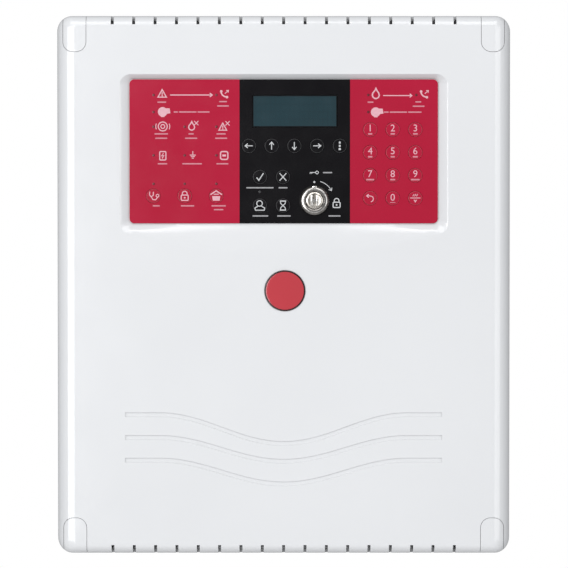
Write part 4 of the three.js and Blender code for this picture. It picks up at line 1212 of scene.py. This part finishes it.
def emblem():
    """A plain domed enamel disc with a dark rim. The mark on the real one is left out."""
    front, rear = limits("emblem")[1]
    form = Form()
    form.kind = 1
    rim = [(EMBLEM_R - 0.4, rear), (EMBLEM_R, rear - 0.3), (EMBLEM_R, front + 0.55)]
    rim += [(EMBLEM_R - 0.25, front + 0.3), (EMBLEM_R - 0.9, front + 0.24)]
    form.turned(EMBLEM_X, EMBLEM_Z, rim, 84)
    form.kind = 0
    dome = [(EMBLEM_R - 0.95, front + 0.3), (EMBLEM_R - 1.05, front + 0.16)]
    for i in range(1, 11):
        r = (EMBLEM_R - 1.05) * math.cos(i / 10 * math.pi / 2 * 0.97)
        dome.append((r, front + 0.16 - 0.14 * math.sin(i / 10 * math.pi / 2)))
    form.turned(EMBLEM_X, EMBLEM_Z, dome, 84)
    looks = [LOOKS["enamel"], LOOKS["enamel_dark"]]
    finish_piece("emblem_disc", form.mesh("emblem"), looks, "cover", ["emblem"])


def key_switch():
    """A dark chrome bezel round a bright ring, and a plug with a key slot that turns in it."""
    _, (front, rear), _ = limits("key_switch_body")
    base = FILM_FRONT - FIT
    barrel = [(8.4, rear), (8.6, rear - 0.3), (8.6, base + 0.2), (8.6, base)]
    flange = [(10.6, base), (10.9, base - 0.3), (10.9, base - 1.0), (10.75, base - 1.4)]
    slope = [(10.3, front + 1.4), (9.7, front + 0.45), (9.1, front + 0.08), (8.9, front)]
    body = Form().turned(LOCK_X, LOCK_Z, barrel + flange + slope, 84)
    inside = [(6.5, rear + 1), (6.5, front + 0.9), (7.3, front + 0.5), (7.3, front - 1)]
    data = carve(body, "bezel", [(CUT, Form().turned(LOCK_X, LOCK_Z, inside, 64))])
    finish_piece("key_switch_bezel", data, [LOOKS["chrome_dark"]], "cover", ["key_switch_body"])
    bright = [(8.85, front + 0.3), (8.85, front + 0.02), (8.55, front - 0.1)]
    bright += [(8.0, front - 0.1), (7.7, front + 0.1), (7.4, front + 0.45)]
    ring = Form().turned(LOCK_X, LOCK_Z, bright, 84)
    hollow = Form().turned(LOCK_X, LOCK_Z, [(7.35, front + 2), (7.35, front - 2)], 64)
    data = carve(ring, "ring", [(CUT, hollow)])
    finish_piece("key_switch_ring", data, [LOOKS["chrome"]], "cover", ())
    index = Form()
    index.block((LOCK_X - 1.6, LOCK_X + 1.6), (front + 0.3, front - 0.2), (LOCK_Z + 8.9, LOCK_Z + 10.2), 0.2)
    finish_piece("key_switch_index", index.mesh("index"), [LOOKS["chrome"]], "cover", ())
    rotor()


def rotor():
    """The turning plug with its dished face, key slot and wards."""
    _, (front, rear), _ = limits("key_switch_rotor")
    shank = [(2.8, rear), (3, rear - 0.3), (3, rear - 7)]
    head = [(6.1, rear - 7), (6.2, rear - 7.3), (6.2, front + 0.7), (6.0, front + 0.3), (5.5, front)]
    plug = Form().turned(LOCK_X, LOCK_Z, shank + head, 64)
    dish = Form().turned(LOCK_X, LOCK_Z, [(3.2, front + 0.5), (4.6, front + 0.32), (5.2, front - 1)], 48)
    keyway = Form()
    keyway.block((LOCK_X - 1.0, LOCK_X + 1.0), (front - 1, front + 8.6), (LOCK_Z - 1.4, LOCK_Z + 5.0), 0)
    centre = Form().turned(LOCK_X, LOCK_Z, [(2.2, front + 2), (2.2, front - 1)], 32)
    data = carve(plug, "plug", [(CUT, dish), (CUT, keyway), (CUT, centre)])
    finish_piece("key_switch_plug", data, [LOOKS["nickel"]], "rotor", ["key_switch_rotor"])
    core = Form().turned(LOCK_X, LOCK_Z, [(1.2, front + 1.9), (1.3, front + 0.3), (1.1, front + 0.12)], 24)
    for xs in ((LOCK_X - 2.6, LOCK_X - 1.3), (LOCK_X + 1.3, LOCK_X + 2.6)):
        core.block(xs, (front + 0.45, front + 0.05), (LOCK_Z - 3.6, LOCK_Z + 3.8), 0.15)
    finish_piece("key_switch_wards", core.mesh("wards"), [LOOKS["chrome"]], "rotor", ())


display_window()
emblem()
key_switch()


# ---------------------------------------------------------------- rear box
def panel_ring(inset, y, extra=0.0):
    r = max(0.8, CORNER_R - inset + extra)
    return at(rounded(-HALF_W + inset, HALF_W - inset, -HALF_H + inset, HALF_H - inset, r), y)


WALL_HOLES = ((-146, 140), (146, 140), (-146, -68), (146, -68))
STUDS = ((-54, 122), (144, 122), (-54, -52), (144, -52))
BATTERY_Z = limits("battery_right")[2]


def box_tray():
    """Back, walls and rim of the moulded box as one closed surface, with softened edges."""
    rings = [panel_ring(2.2, 0), panel_ring(0.7, -0.5), panel_ring(0.1, -1.8), panel_ring(0, -3)]
    rings += [panel_ring(0, BOX_RIM + 0.6), panel_ring(0.4, BOX_RIM), panel_ring(WALL - 0.3, BOX_RIM)]
    rings += [panel_ring(WALL, BOX_RIM + 0.3), panel_ring(WALL, -WALL - 1.2)]
    rings += [panel_ring(WALL + 0.35, -WALL - 0.35), panel_ring(WALL + 1.2, -WALL)]
    return Form().loft(rings)


def upright_ring(form, x, y, outer, inner, z0, z1):
    """A ring-shaped groove to be cut in the top wall."""
    rings = []
    for radius, z in ((outer, z0), (outer, z1), (inner, z1), (inner, z0)):
        rings.append([(px, py, z) for px, py in circle(x, y, radius, 40)])
    form.hoop(rings)


def flat_ring(form, x, z, outer, inner, y0, y1):
    """A ring-shaped groove to be cut in the back."""
    rings = [at(circle(x, z, radius, 40), y)
             for radius, y in ((outer, y0), (outer, y1), (inner, y1), (inner, y0))]
    form.hoop(rings)


def rear_box():
    lip = Form().hoop([panel_ring(WALL + 1.8, -49), panel_ring(WALL + 1.8, BOX_RIM - 4.3),
                       panel_ring(WALL + 1.6, BOX_RIM - 4.5), panel_ring(WALL + 0.7, BOX_RIM - 4.5),
                       panel_ring(WALL + 0.5, BOX_RIM - 4.2), panel_ring(WALL + 0.5, BOX_RIM + 0.6),
                       panel_ring(WALL - 0.2, BOX_RIM + 0.9), panel_ring(WALL - 0.2, -50)])
    no_lip = Form().block((-HALF_W - 1, -HALF_W + 14), (-45, BOX_RIM - 8), (-HALF_H - 1, HALF_H + 1), 0)
    lip_data = carve(lip, "box_lip", [(CUT, no_lip)])
    finish_piece("rear_box_lip", lip_data, [LOOKS["box"]], "rear_box", ())
    towers, studs, shelf, ribs = Form(), Form(), Form(), Form()
    for _, sx, sz in CORNERS:
        x, z = sx * SCREW_X, sz * SCREW_Z
        towers.turned(x, z, [(6.4, -2), (6, -6), (6, BOX_RIM + 1.2), (5.5, BOX_RIM + 0.5)], 36)
    for x, z in STUDS:
        studs.turned(x, z, [(3.8, -2), (3.4, -5), (3.4, rear_of("main_board") + FIT)], 28)
    shelf_top = BATTERY_Z[0] - FIT
    shelf.block((-140, 140), (-2, -50), (shelf_top - 2.5, shelf_top), 0.3)
    ribs.block((-1.2, 1.2), (-2, -40), (shelf_top - 1, shelf_top + 51.3), 0.3)
    grooves, holes = Form(), Form()
    for side in (-1, 1):
        ribs.block((side * 30, side * 34), (-2, -12), (-76.7, -70), 0.3)
        flat_ring(grooves, side * 115, 150, 10.5, 9.3, 1, -1.2)
        upright_ring(grooves, side * 60, -28, 10.5, 9.3, HALF_H - 1.2, HALF_H + 1)
    for x, z in WALL_HOLES:
        holes.turned(x, z, [(2.7, 1), (2.7, -WALL - 1)], 28)
    for _, sx, sz in CORNERS:
        holes.turned(sx * SCREW_X, sz * SCREW_Z, [(2.2, -42), (2.2, BOX_RIM - 1)], 28)
    window = Form().loft([at(rounded(-80, 80, 146, 174, 4), y) for y in (1, -WALL - 1)])
    cove = Form().post(HINGE["x"], HINGE["y"], HINGE["r"] + 0.4, -HALF_H - 1, HALF_H + 1, 36)
    sill_y = (HINGE["y"] - 6, HINGE["y"] + 4.1)
    sill = Form().block((-HALF_W - 1, HINGE["x"] + 0.8), sill_y, (-HALF_H - 1, HALF_H + 1), 0)
    knuckles, webs, bores = Form(), Form(), Form()
    for z in (115, -115):
        knuckles.post(HINGE["x"], HINGE["y"], HINGE["r"], z - 7, z + 7, 36, 0.3)
        webs.block((HINGE["x"] - HINGE["r"], HINGE["x"] - 0.6), (HINGE["y"], HINGE["y"] + 6), (z - 7, z + 7), 0)
        bores.post(HINGE["x"], HINGE["y"], 1.4, z - 19, z + 19, 20)
    steps = [(ADD, towers), (ADD, studs), (ADD, shelf), (ADD, ribs), (CUT, cove), (CUT, sill)]
    steps += [(ADD, knuckles), (ADD, webs), (CUT, bores), (CUT, holes), (CUT, window), (CUT, grooves)]
    data = carve(box_tray(), "rear_box_moulding", steps)
    finish_piece("rear_box_moulding", data, [LOOKS["box"]], "rear_box", ["rear_box"], 28, True)


rear_box()


# ---------------------------------------------------------------- detail on the circuit boards
BOARD_THICK = 1.6
MAIN_FACE = rear_of("main_board") - BOARD_THICK
# the keypad board's rear face, which shows inside the open cover
KEYPAD_FACE = -92.4
TERMINAL_PITCH = 7.62
# height of the mains terminal's screws and of the fuse beside it
SUPPLY_ROW_Z = 96
# middle x and z, width, height and count of legs on a side
MAIN_CHIPS = (
    (-28, 40, 12, 7, 8), (-4, 34, 9, 6, 7), (14, 66, 16, 9, 10), (80, 76, 10, 6, 7), (96, 52, 10, 6, 7),
    (-30, -14, 14, 8, 9), (2, -8, 10, 6, 7), (70, -14, 12, 7, 8), (94, 4, 8, 5, 6),
)
KEYPAD_CHIPS = ((-60, 96, 13, 8, 9), (-36, 62, 9, 6, 7), (70, 118, 11, 7, 8), (60, 60, 14, 9, 10))


def add_chip(case, legs, face, out, x, z, w, h, count):
    """A chip w by h with legs above and below, on the side of a board that out points to along Y."""
    case.block((x - w / 2, x + w / 2), (face - 0.1 * out, face + 1.6 * out), (z - h / 2, z + h / 2), 0.25)
    for i in range(count):
        leg = x - w / 2 + w * (i + 0.5) / count
        for side in (-1, 1):
            foot = (z + side * h / 2, z + side * (h / 2 + 1.5))
            legs.block((leg - 0.25, leg + 0.25), (face + 0.1 * out, face + 0.75 * out), foot, 0.08)


def add_resistors(case, ends):
    """Four rows of chip resistors in two lengths, each with tinned ends."""
    first = limits("main_board")[0][0] + 22
    for row, z in enumerate((14, 54, 82, -30)):
        for i in range(22):
            x = first + i * 4.3
            half = 0.8 if (i + row) % 3 else 1.3
            case.block((x - 0.6, x + 0.6), (MAIN_FACE + 0.05, MAIN_FACE - 0.55), (z - half, z + half), 0.1)
            for side in (-1, 1):
                end = (z + side * half, z + side * (half + 0.5))
                ends.block((x - 0.65, x + 0.65), (MAIN_FACE + 0.05, MAIN_FACE - 0.6), end, 0.1)


def add_pin_header(pins, base):
    """Twelve square pins in cream blocks, and two round cans lower down."""
    for i in range(12):
        x = 30 + i * 2.54
        pins.block((x - 0.32, x + 0.32), (MAIN_FACE, MAIN_FACE - 8), (94.7, 95.3), 0.1)
        base.block((x - 1.2, x + 1.2), (MAIN_FACE + 0.1, MAIN_FACE - 2.5), (93.8, 96.2), 0.2)
    for x in (34, 40):
        pins.turned(x, 12, [(2.2, MAIN_FACE), (2.2, MAIN_FACE - 3), (1.8, MAIN_FACE - 3.4)], 28)


def add_capacitors(tops, sleeves):
    """Sleeves and metal tops on the two big capacitors."""
    top = front_of("main_board")
    for x in (-20, 4):
        tops.turned(x, 88, [(7.4, top + 0.3), (7.2, top - 0.05), (1.0, top - 0.1)], 44)
        sleeve = [(8.12, MAIN_FACE - 1), (8.15, MAIN_FACE - 22), (7.8, top + 0.25), (7.3, top + 0.1)]
        sleeves.turned(x, 88, sleeve, 44)


def add_relays(cases, labels):
    """Four blue relays one above the other, each with a blank label."""
    (_, right), _, (low, _) = limits("main_board")
    for i in range(4):
        z = low + 34 + 26 * i
        depth = (MAIN_FACE - 0.2, MAIN_FACE - 16.15)
        cases.block((right - 30.2, right - 13.8), depth, (z - 0.2, z + 20.2), 0.6)
        labels.block((right - 26, right - 18), (MAIN_FACE - 16.1, MAIN_FACE - 16.3), (z + 6, z + 14), 0.08)


def main_board_detail():
    """Everything soldered to the main board that the frame's node leaves plain."""
    dark, tin, cream, blue = Form(), Form(), Form(), Form()
    for values in MAIN_CHIPS:
        add_chip(dark, tin, MAIN_FACE, -1, *values)
    add_resistors(dark, tin)
    add_pin_header(tin, cream)
    add_capacitors(tin, blue)
    add_relays(blue, cream)
    for i in range(4):
        z = -36 + i * 9
        cream.turned(106, z, [(2.3, MAIN_FACE), (2.3, MAIN_FACE - 6), (1.9, MAIN_FACE - 6.6)], 20)
        dark.block((-52, -46), (MAIN_FACE, MAIN_FACE - 5), (z - 3, z + 3), 0.4)
    for x, z in STUDS:
        head = [(3.1, MAIN_FACE), (3.1, MAIN_FACE - 1.4), (2.4, MAIN_FACE - 2.1), (0.6, MAIN_FACE - 2.2)]
        tin.turned(x, z, head, 28)
    for i in range(8):
        blue.block((10 + i * 3.2, 12 + i * 3.2), (MAIN_FACE, MAIN_FACE - 1.2), (106, 107.6), 0.15)
    header = limits("main_board")[0][0] + 5
    cream.block((header, header + 9.2), (MAIN_FACE - 8.9, MAIN_FACE - 9.5), (69.8, 110.2), 0.2)
    for name, form, look in (("chips", dark, "part"), ("pins", tin, "steel"), ("connectors", cream, "cream"),
                             ("relays", blue, "blue")):
        finish_piece(f"main_board_{name}", form.mesh(name), [LOOKS[look]], "rear_box", (), 35)


def terminal_detail(node, up):
    """Clamp screws with a black bar across each head as painted shade in its slot, and a line between one way
    and the next.
    """
    (x0, x1), (front, _), (z0, z1) = limits(node)
    screws, slots = Form(), Form()
    z = z1 - 5.5 if up else z0 + 5.5
    head = [(2.3, front + 1), (2.3, front - 0.05), (2.0, front - 0.25), (0.4, front - 0.3)]
    for i in range(int((x1 - x0) // TERMINAL_PITCH)):
        x = x0 + TERMINAL_PITCH * (i + 0.5)
        screws.turned(x, z, head, 24)
        # painted shade: a black bar across the head stands for the shadow in its slot
        slots.block((x - 2.0, x + 2.0), (front - 0.2, front - 0.36), (z - 0.28, z + 0.28), 0.05)
        edge = x + TERMINAL_PITCH / 2
        slots.block((edge - 0.15, edge + 0.15), (front + 0.5, front - 0.06), (z - 2.4, z + 2.4), 0.04)
    finish_piece(f"{node}_screws", screws.mesh("screws"), [LOOKS["zinc"]], "rear_box", ())
    finish_piece(f"{node}_slots", slots.mesh("slots"), [LOOKS["part"]], "rear_box", ())


def supply_detail():
    """Screws on the cage and the mains terminal, each with a black bar across its head as painted shade in its
    slot, and a glass fuse with metal caps.
    """
    (x0, x1), (front, _), (z0, z1) = limits("power_supply_cage")
    metal_bits, glass, dark = Form(), Form(), Form()
    head = [(2.4, front + 0.3), (2.3, front - 0.5), (1.4, front - 1.0), (0.3, front - 1.1)]
    for x in (x0 + 7, x1 - 7):
        for z in (z0 + 7, z1 - 7):
            metal_bits.turned(x, z, head, 28)
            # painted shade: a black bar across the head stands for the shadow in its slot
            dark.block((x - 1.8, x + 1.8), (front - 1.0, front - 1.15), (z - 0.3, z + 0.3), 0.05)
    (x0, _), (front, _), _ = limits("mains_terminal")
    z = SUPPLY_ROW_Z
    for i in range(3):
        x = x0 + 9 + 14 * i
        metal_bits.turned(x, z, [(2.6, front + 4), (2.6, front + 2.6), (2.2, front + 2.3)], 28)
        # painted shade: a black bar across the head stands for the shadow in its slot
        dark.block((x - 2.1, x + 2.1), (front + 2.4, front + 2.2), (z - 0.3, z + 0.3), 0.05)
        if i < 2:
            dark.block((x + 6.8, x + 7.2), (front + 0.4, front - 0.04), (z - 7.6, z + 7.6), 0.03)
    x0, x1 = limits("fuse_holder")[0]
    y = -17.6
    glass.tube([(x0 + 4.2, y, z), (x1 - 4.2, y, z)], 2.5, 24)
    for x in (x0 + 4, x1 - 8):
        metal_bits.tube([(x, y, z), (x + 4, y, z)], 2.7, 24)
    finish_piece("supply_screws", metal_bits.mesh("screws"), [LOOKS["steel"]], "rear_box", ())
    finish_piece("supply_slots", dark.mesh("slots"), [LOOKS["part"]], "rear_box", ())
    finish_piece("fuse_tube", glass.mesh("fuse"), [LOOKS["clear"]], "rear_box", ())


def battery_detail(node):
    """Plain labels with bands and bars, the lid's joint and its vent caps."""
    (x0, x1), (front, _), (_, z1) = limits(node)
    centre = (x0 + x1) / 2
    form = Form()
    form.plate(rounded(x0 + 16, x1 - 16, -165, -140, 1.5, 4), front + 0.1, front - 0.06, 0.05)
    form.plate(rounded(x0 + 16, x1 - 16, -114, -92, 1.5, 4), front + 0.1, front - 0.06, 0.05)
    form.kind = 1
    form.flat(rounded(x0 + 18, x1 - 18, -99.5, -94, 0.8, 3), front - 0.08)
    form.flat(rounded(x0 + 18, x0 + 44, -162, -143, 0.8, 3), front - 0.08)
    form.kind = 2
    for i in range(3):
        words(form, centre + 14, -146 - i * 5.5, (18, 26 - 4 * i, 12 + 3 * i), front - 0.07, 1.6)
    words(form, centre, -107.5, (22, 30, 18), front - 0.07, 2.0)
    looks = [LOOKS["label"], LOOKS["label_band"], LOOKS["part"]]
    finish_piece(f"{node}_label", form.mesh("label"), looks, "rear_box", ())
    groove = Form()
    top = z1 - 12
    groove.block((x0 + 0.5, x1 - 0.5), (front + 0.6, front - 0.08), (top - 0.35, top + 0.35), 0.05)
    for i in range(6):
        groove.post(x0 + 38 + i * 15, -36, 3.6, z1 - 6.2, z1 - 5.7, 24)
    finish_piece(f"{node}_lid_lines", groove.mesh("lid"), [LOOKS["part"]], "rear_box", ())


def keypad_board_rear():
    """What shows inside the open cover: chips, solder joints, resistors, screws and the header's rim."""
    dark, tin, cream = Form(), Form(), Form()
    for values in KEYPAD_CHIPS:
        add_chip(dark, tin, KEYPAD_FACE, 1, *values)
    joint = [(0.9, KEYPAD_FACE), (0.6, KEYPAD_FACE + 0.5), (0.2, KEYPAD_FACE + 0.7)]
    for key in KEYS:
        x, z = middle(key)
        for dx, dz in ((-3.2, -2.2), (3.2, -2.2), (-3.2, 2.2), (3.2, 2.2)):
            tin.turned(x + dx, z + dz, joint, 10)
    joint = [(0.8, KEYPAD_FACE), (0.5, KEYPAD_FACE + 0.45), (0.2, KEYPAD_FACE + 0.6)]
    for x, z in LAMPS:
        for dx in (-1.2, 1.2):
            tin.turned(x + dx, z, joint, 10)
    for z in (84, 93):
        for i in range(16):
            x = -20 + i * 4.2
            dark.block((x - 0.6, x + 0.6), (KEYPAD_FACE - 0.05, KEYPAD_FACE + 0.5), (z, z + 1.8), 0.1)
    head = [(3, KEYPAD_FACE), (3, KEYPAD_FACE + 1.4), (2.3, KEYPAD_FACE + 2.0), (0.4, KEYPAD_FACE + 2.1)]
    for x in (-100, 100):
        for z in (38, 147.5):
            tin.turned(x, z, head, 28)
    cream.block((-104.3, -99.7), (KEYPAD_FACE + 7.9, KEYPAD_FACE + 8.3), (69.8, 110.2), 0.15)
    for name, form, look in (("chips", dark, "part"), ("solder", tin, "steel"), ("header", cream, "cream")):
        finish_piece(f"keypad_board_{name}", form.mesh(name), [LOOKS[look]], "cover", (), 35)


main_board_detail()
terminal_detail("terminal_row_upper", True)
terminal_detail("terminal_row_lower", False)
supply_detail()
for battery in ("battery_left", "battery_right"):
    battery_detail(battery)
keypad_board_rear()


# ---------------------------------------------------------------- ribbon cable
def ribbon_cable():
    """A fine strip along the flat cable's route."""
    _, _, (z0, z1) = limits("ribbon_cable")
    main_front = rear_of("main_board") - 1.6
    header_x = limits("main_board")[0][0] + 9.5
    route = [(header_x, main_front - 9.6), (header_x - 6, main_front - 15.6), (-96, -52.6), (-128, -53),
             (-147, -57), (-149.5, -66), (-141, -75), (-122, -78.5), (-107, -80), (-102, -83.8)]
    points = [route[0], *route, route[-1]]
    line = []
    for i in range(1, len(points) - 2):
        a, b, c, d = (Vector(points[k]) for k in (i - 1, i, i + 1, i + 2))
        for step in range(10):
            t = step / 10
            line.append(0.5 * ((2 * b) + (c - a) * t + (2 * a - 5 * b + 4 * c - d) * t * t
                               + (3 * b - a - 3 * c + d) * t * t * t))
    line.append(Vector(route[-1]))
    form = Form()
    cores = 26
    rings = []
    for i, point in enumerate(line):
        along = (line[min(i + 1, len(line) - 1)] - line[max(i - 1, 0)]).normalized()
        side = Vector((-along.y, along.x))
        ring = []
        for face in (1, -1):
            for k in range(cores * 2 + 1):
                share = k / (cores * 2) if face > 0 else 1 - k / (cores * 2)
                thick = 0.45 if round(share * cores * 2) % 2 else 0.28
                where = point + side * face * thick
                ring.append((where.x, where.y, z0 + (z1 - z0) * share))
        rings.append(ring)
    form.loft(rings)
    piece = placed("ribbon_strip", form.mesh("ribbon"))
    piece.data.materials.append(LOOKS["ribbon"])
    smooth(piece, 50)
    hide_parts("ribbon_cable")
    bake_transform(piece)


ribbon_cable()


# ---------------------------------------------------------------- nodes that keep their own shape
def dress(node, look, edge=0.35):
    """A node of the frame keeps its form and gets broken edges and a finished material."""
    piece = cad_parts[node]
    if edge:
        modifier = piece.modifiers.new("broken edges", "BEVEL")
        modifier.width = edge * MM
        modifier.segments = 2
        modifier.limit_method = "ANGLE"
        modifier.angle_limit = math.radians(40)
    piece.data.materials.clear()
    piece.data.materials.append(LOOKS[look])


DRESSED = {
    "hinge_pin_upper": ("steel", 0.2),
    "hinge_pin_lower": ("steel", 0.2),
    "keypad_carrier": ("carrier", 0.0),
    "keypad_board": ("board", 0.15),
    "display_module": ("part", 0.3),
    "key_switch_nut": ("nickel", 0.4),
    "key_switch_contacts": ("part", 0.5),
    "main_board": ("board", 0.2),
    "terminal_row_upper": ("green", 0.25),
    "terminal_row_lower": ("green", 0.25),
    "power_supply_cage": ("zinc", 0.5),
    "power_supply_board": ("board", 0.2),
    "mains_terminal": ("grey", 0.5),
    "fuse_holder": ("part", 0.4),
    "battery_left": ("case", 1.0),
    "battery_right": ("case", 1.0),
    "battery_strap": ("zinc", 0.3),
    "battery_lead_red": ("lead_red", 0.2),
    "battery_lead_black": ("lead_black", 0.2),
    "battery_link": ("lead_black", 0.2),
}
for node_name, (look_name, edge_size) in DRESSED.items():
    dress(node_name, look_name, edge_size)


# ---------------------------------------------------------------- studio
def add_light(name, place, aim, size, power):
    data = bpy.data.lights.new(name, "AREA")
    data.shape = "RECTANGLE"
    data.size, data.size_y = size
    data.energy = power
    light = bpy.data.objects.new(name, data)
    bpy.context.scene.collection.objects.link(light)
    light.location = place
    light.rotation_euler = (Vector(aim) - Vector(place)).to_track_quat("-Z", "Y").to_euler()
    return light


def studio():
    """Two upper softboxes with a gap between them, one at each side, a white surround and a floor."""
    aim = (0, FACE * MM, 0)

    def round_the_panel(azimuth, elevation, distance):
        a, e = math.radians(azimuth), math.radians(elevation)
        flat = distance * math.cos(e)
        return flat * math.sin(a), FACE * MM - flat * math.cos(a), distance * math.sin(e)

    for side in (-1, 1):
        add_light(f"upper_{side}", round_the_panel(side * 22.5, 39, 3.0), aim, (1.7, 1.8), 24)
    add_light("left", round_the_panel(-29, 2, 3.2), aim, (2.5, 1.6), 50)
    add_light("right", round_the_panel(37, 2, 3.2), aim, (1.9, 1.6), 15)
    world = bpy.data.worlds.new("studio")
    bpy.context.scene.world = world
    world.use_nodes = True
    nodes, links = world.node_tree.nodes, world.node_tree.links
    nodes.clear()
    output = nodes.new("ShaderNodeOutputWorld")
    seen, cast = nodes.new("ShaderNodeBackground"), nodes.new("ShaderNodeBackground")
    seen.inputs["Color"].default_value = (1, 1, 1, 1)
    cast.inputs["Color"].default_value = (0.97, 0.98, 1, 1)
    cast.inputs["Strength"].default_value = 0.36
    path, mix = nodes.new("ShaderNodeLightPath"), nodes.new("ShaderNodeMixShader")
    links.new(path.outputs["Is Camera Ray"], mix.inputs[0])
    links.new(cast.outputs[0], mix.inputs[1])
    links.new(seen.outputs[0], mix.inputs[2])
    links.new(mix.outputs[0], output.inputs["Surface"])
    ground = Form().flat([(-1500, -1500), (1500, -1500), (1500, 1500), (-1500, 1500)], 0)
    floor = placed("studio_floor", ground.mesh("floor", False))
    floor.rotation_euler = (math.radians(-90), 0, 0)
    floor.location = (0, 0, -0.62)
    floor.data.materials.append(LOOKS["floor"])
    bpy.context.scene.view_settings.view_transform = "Standard"


studio()
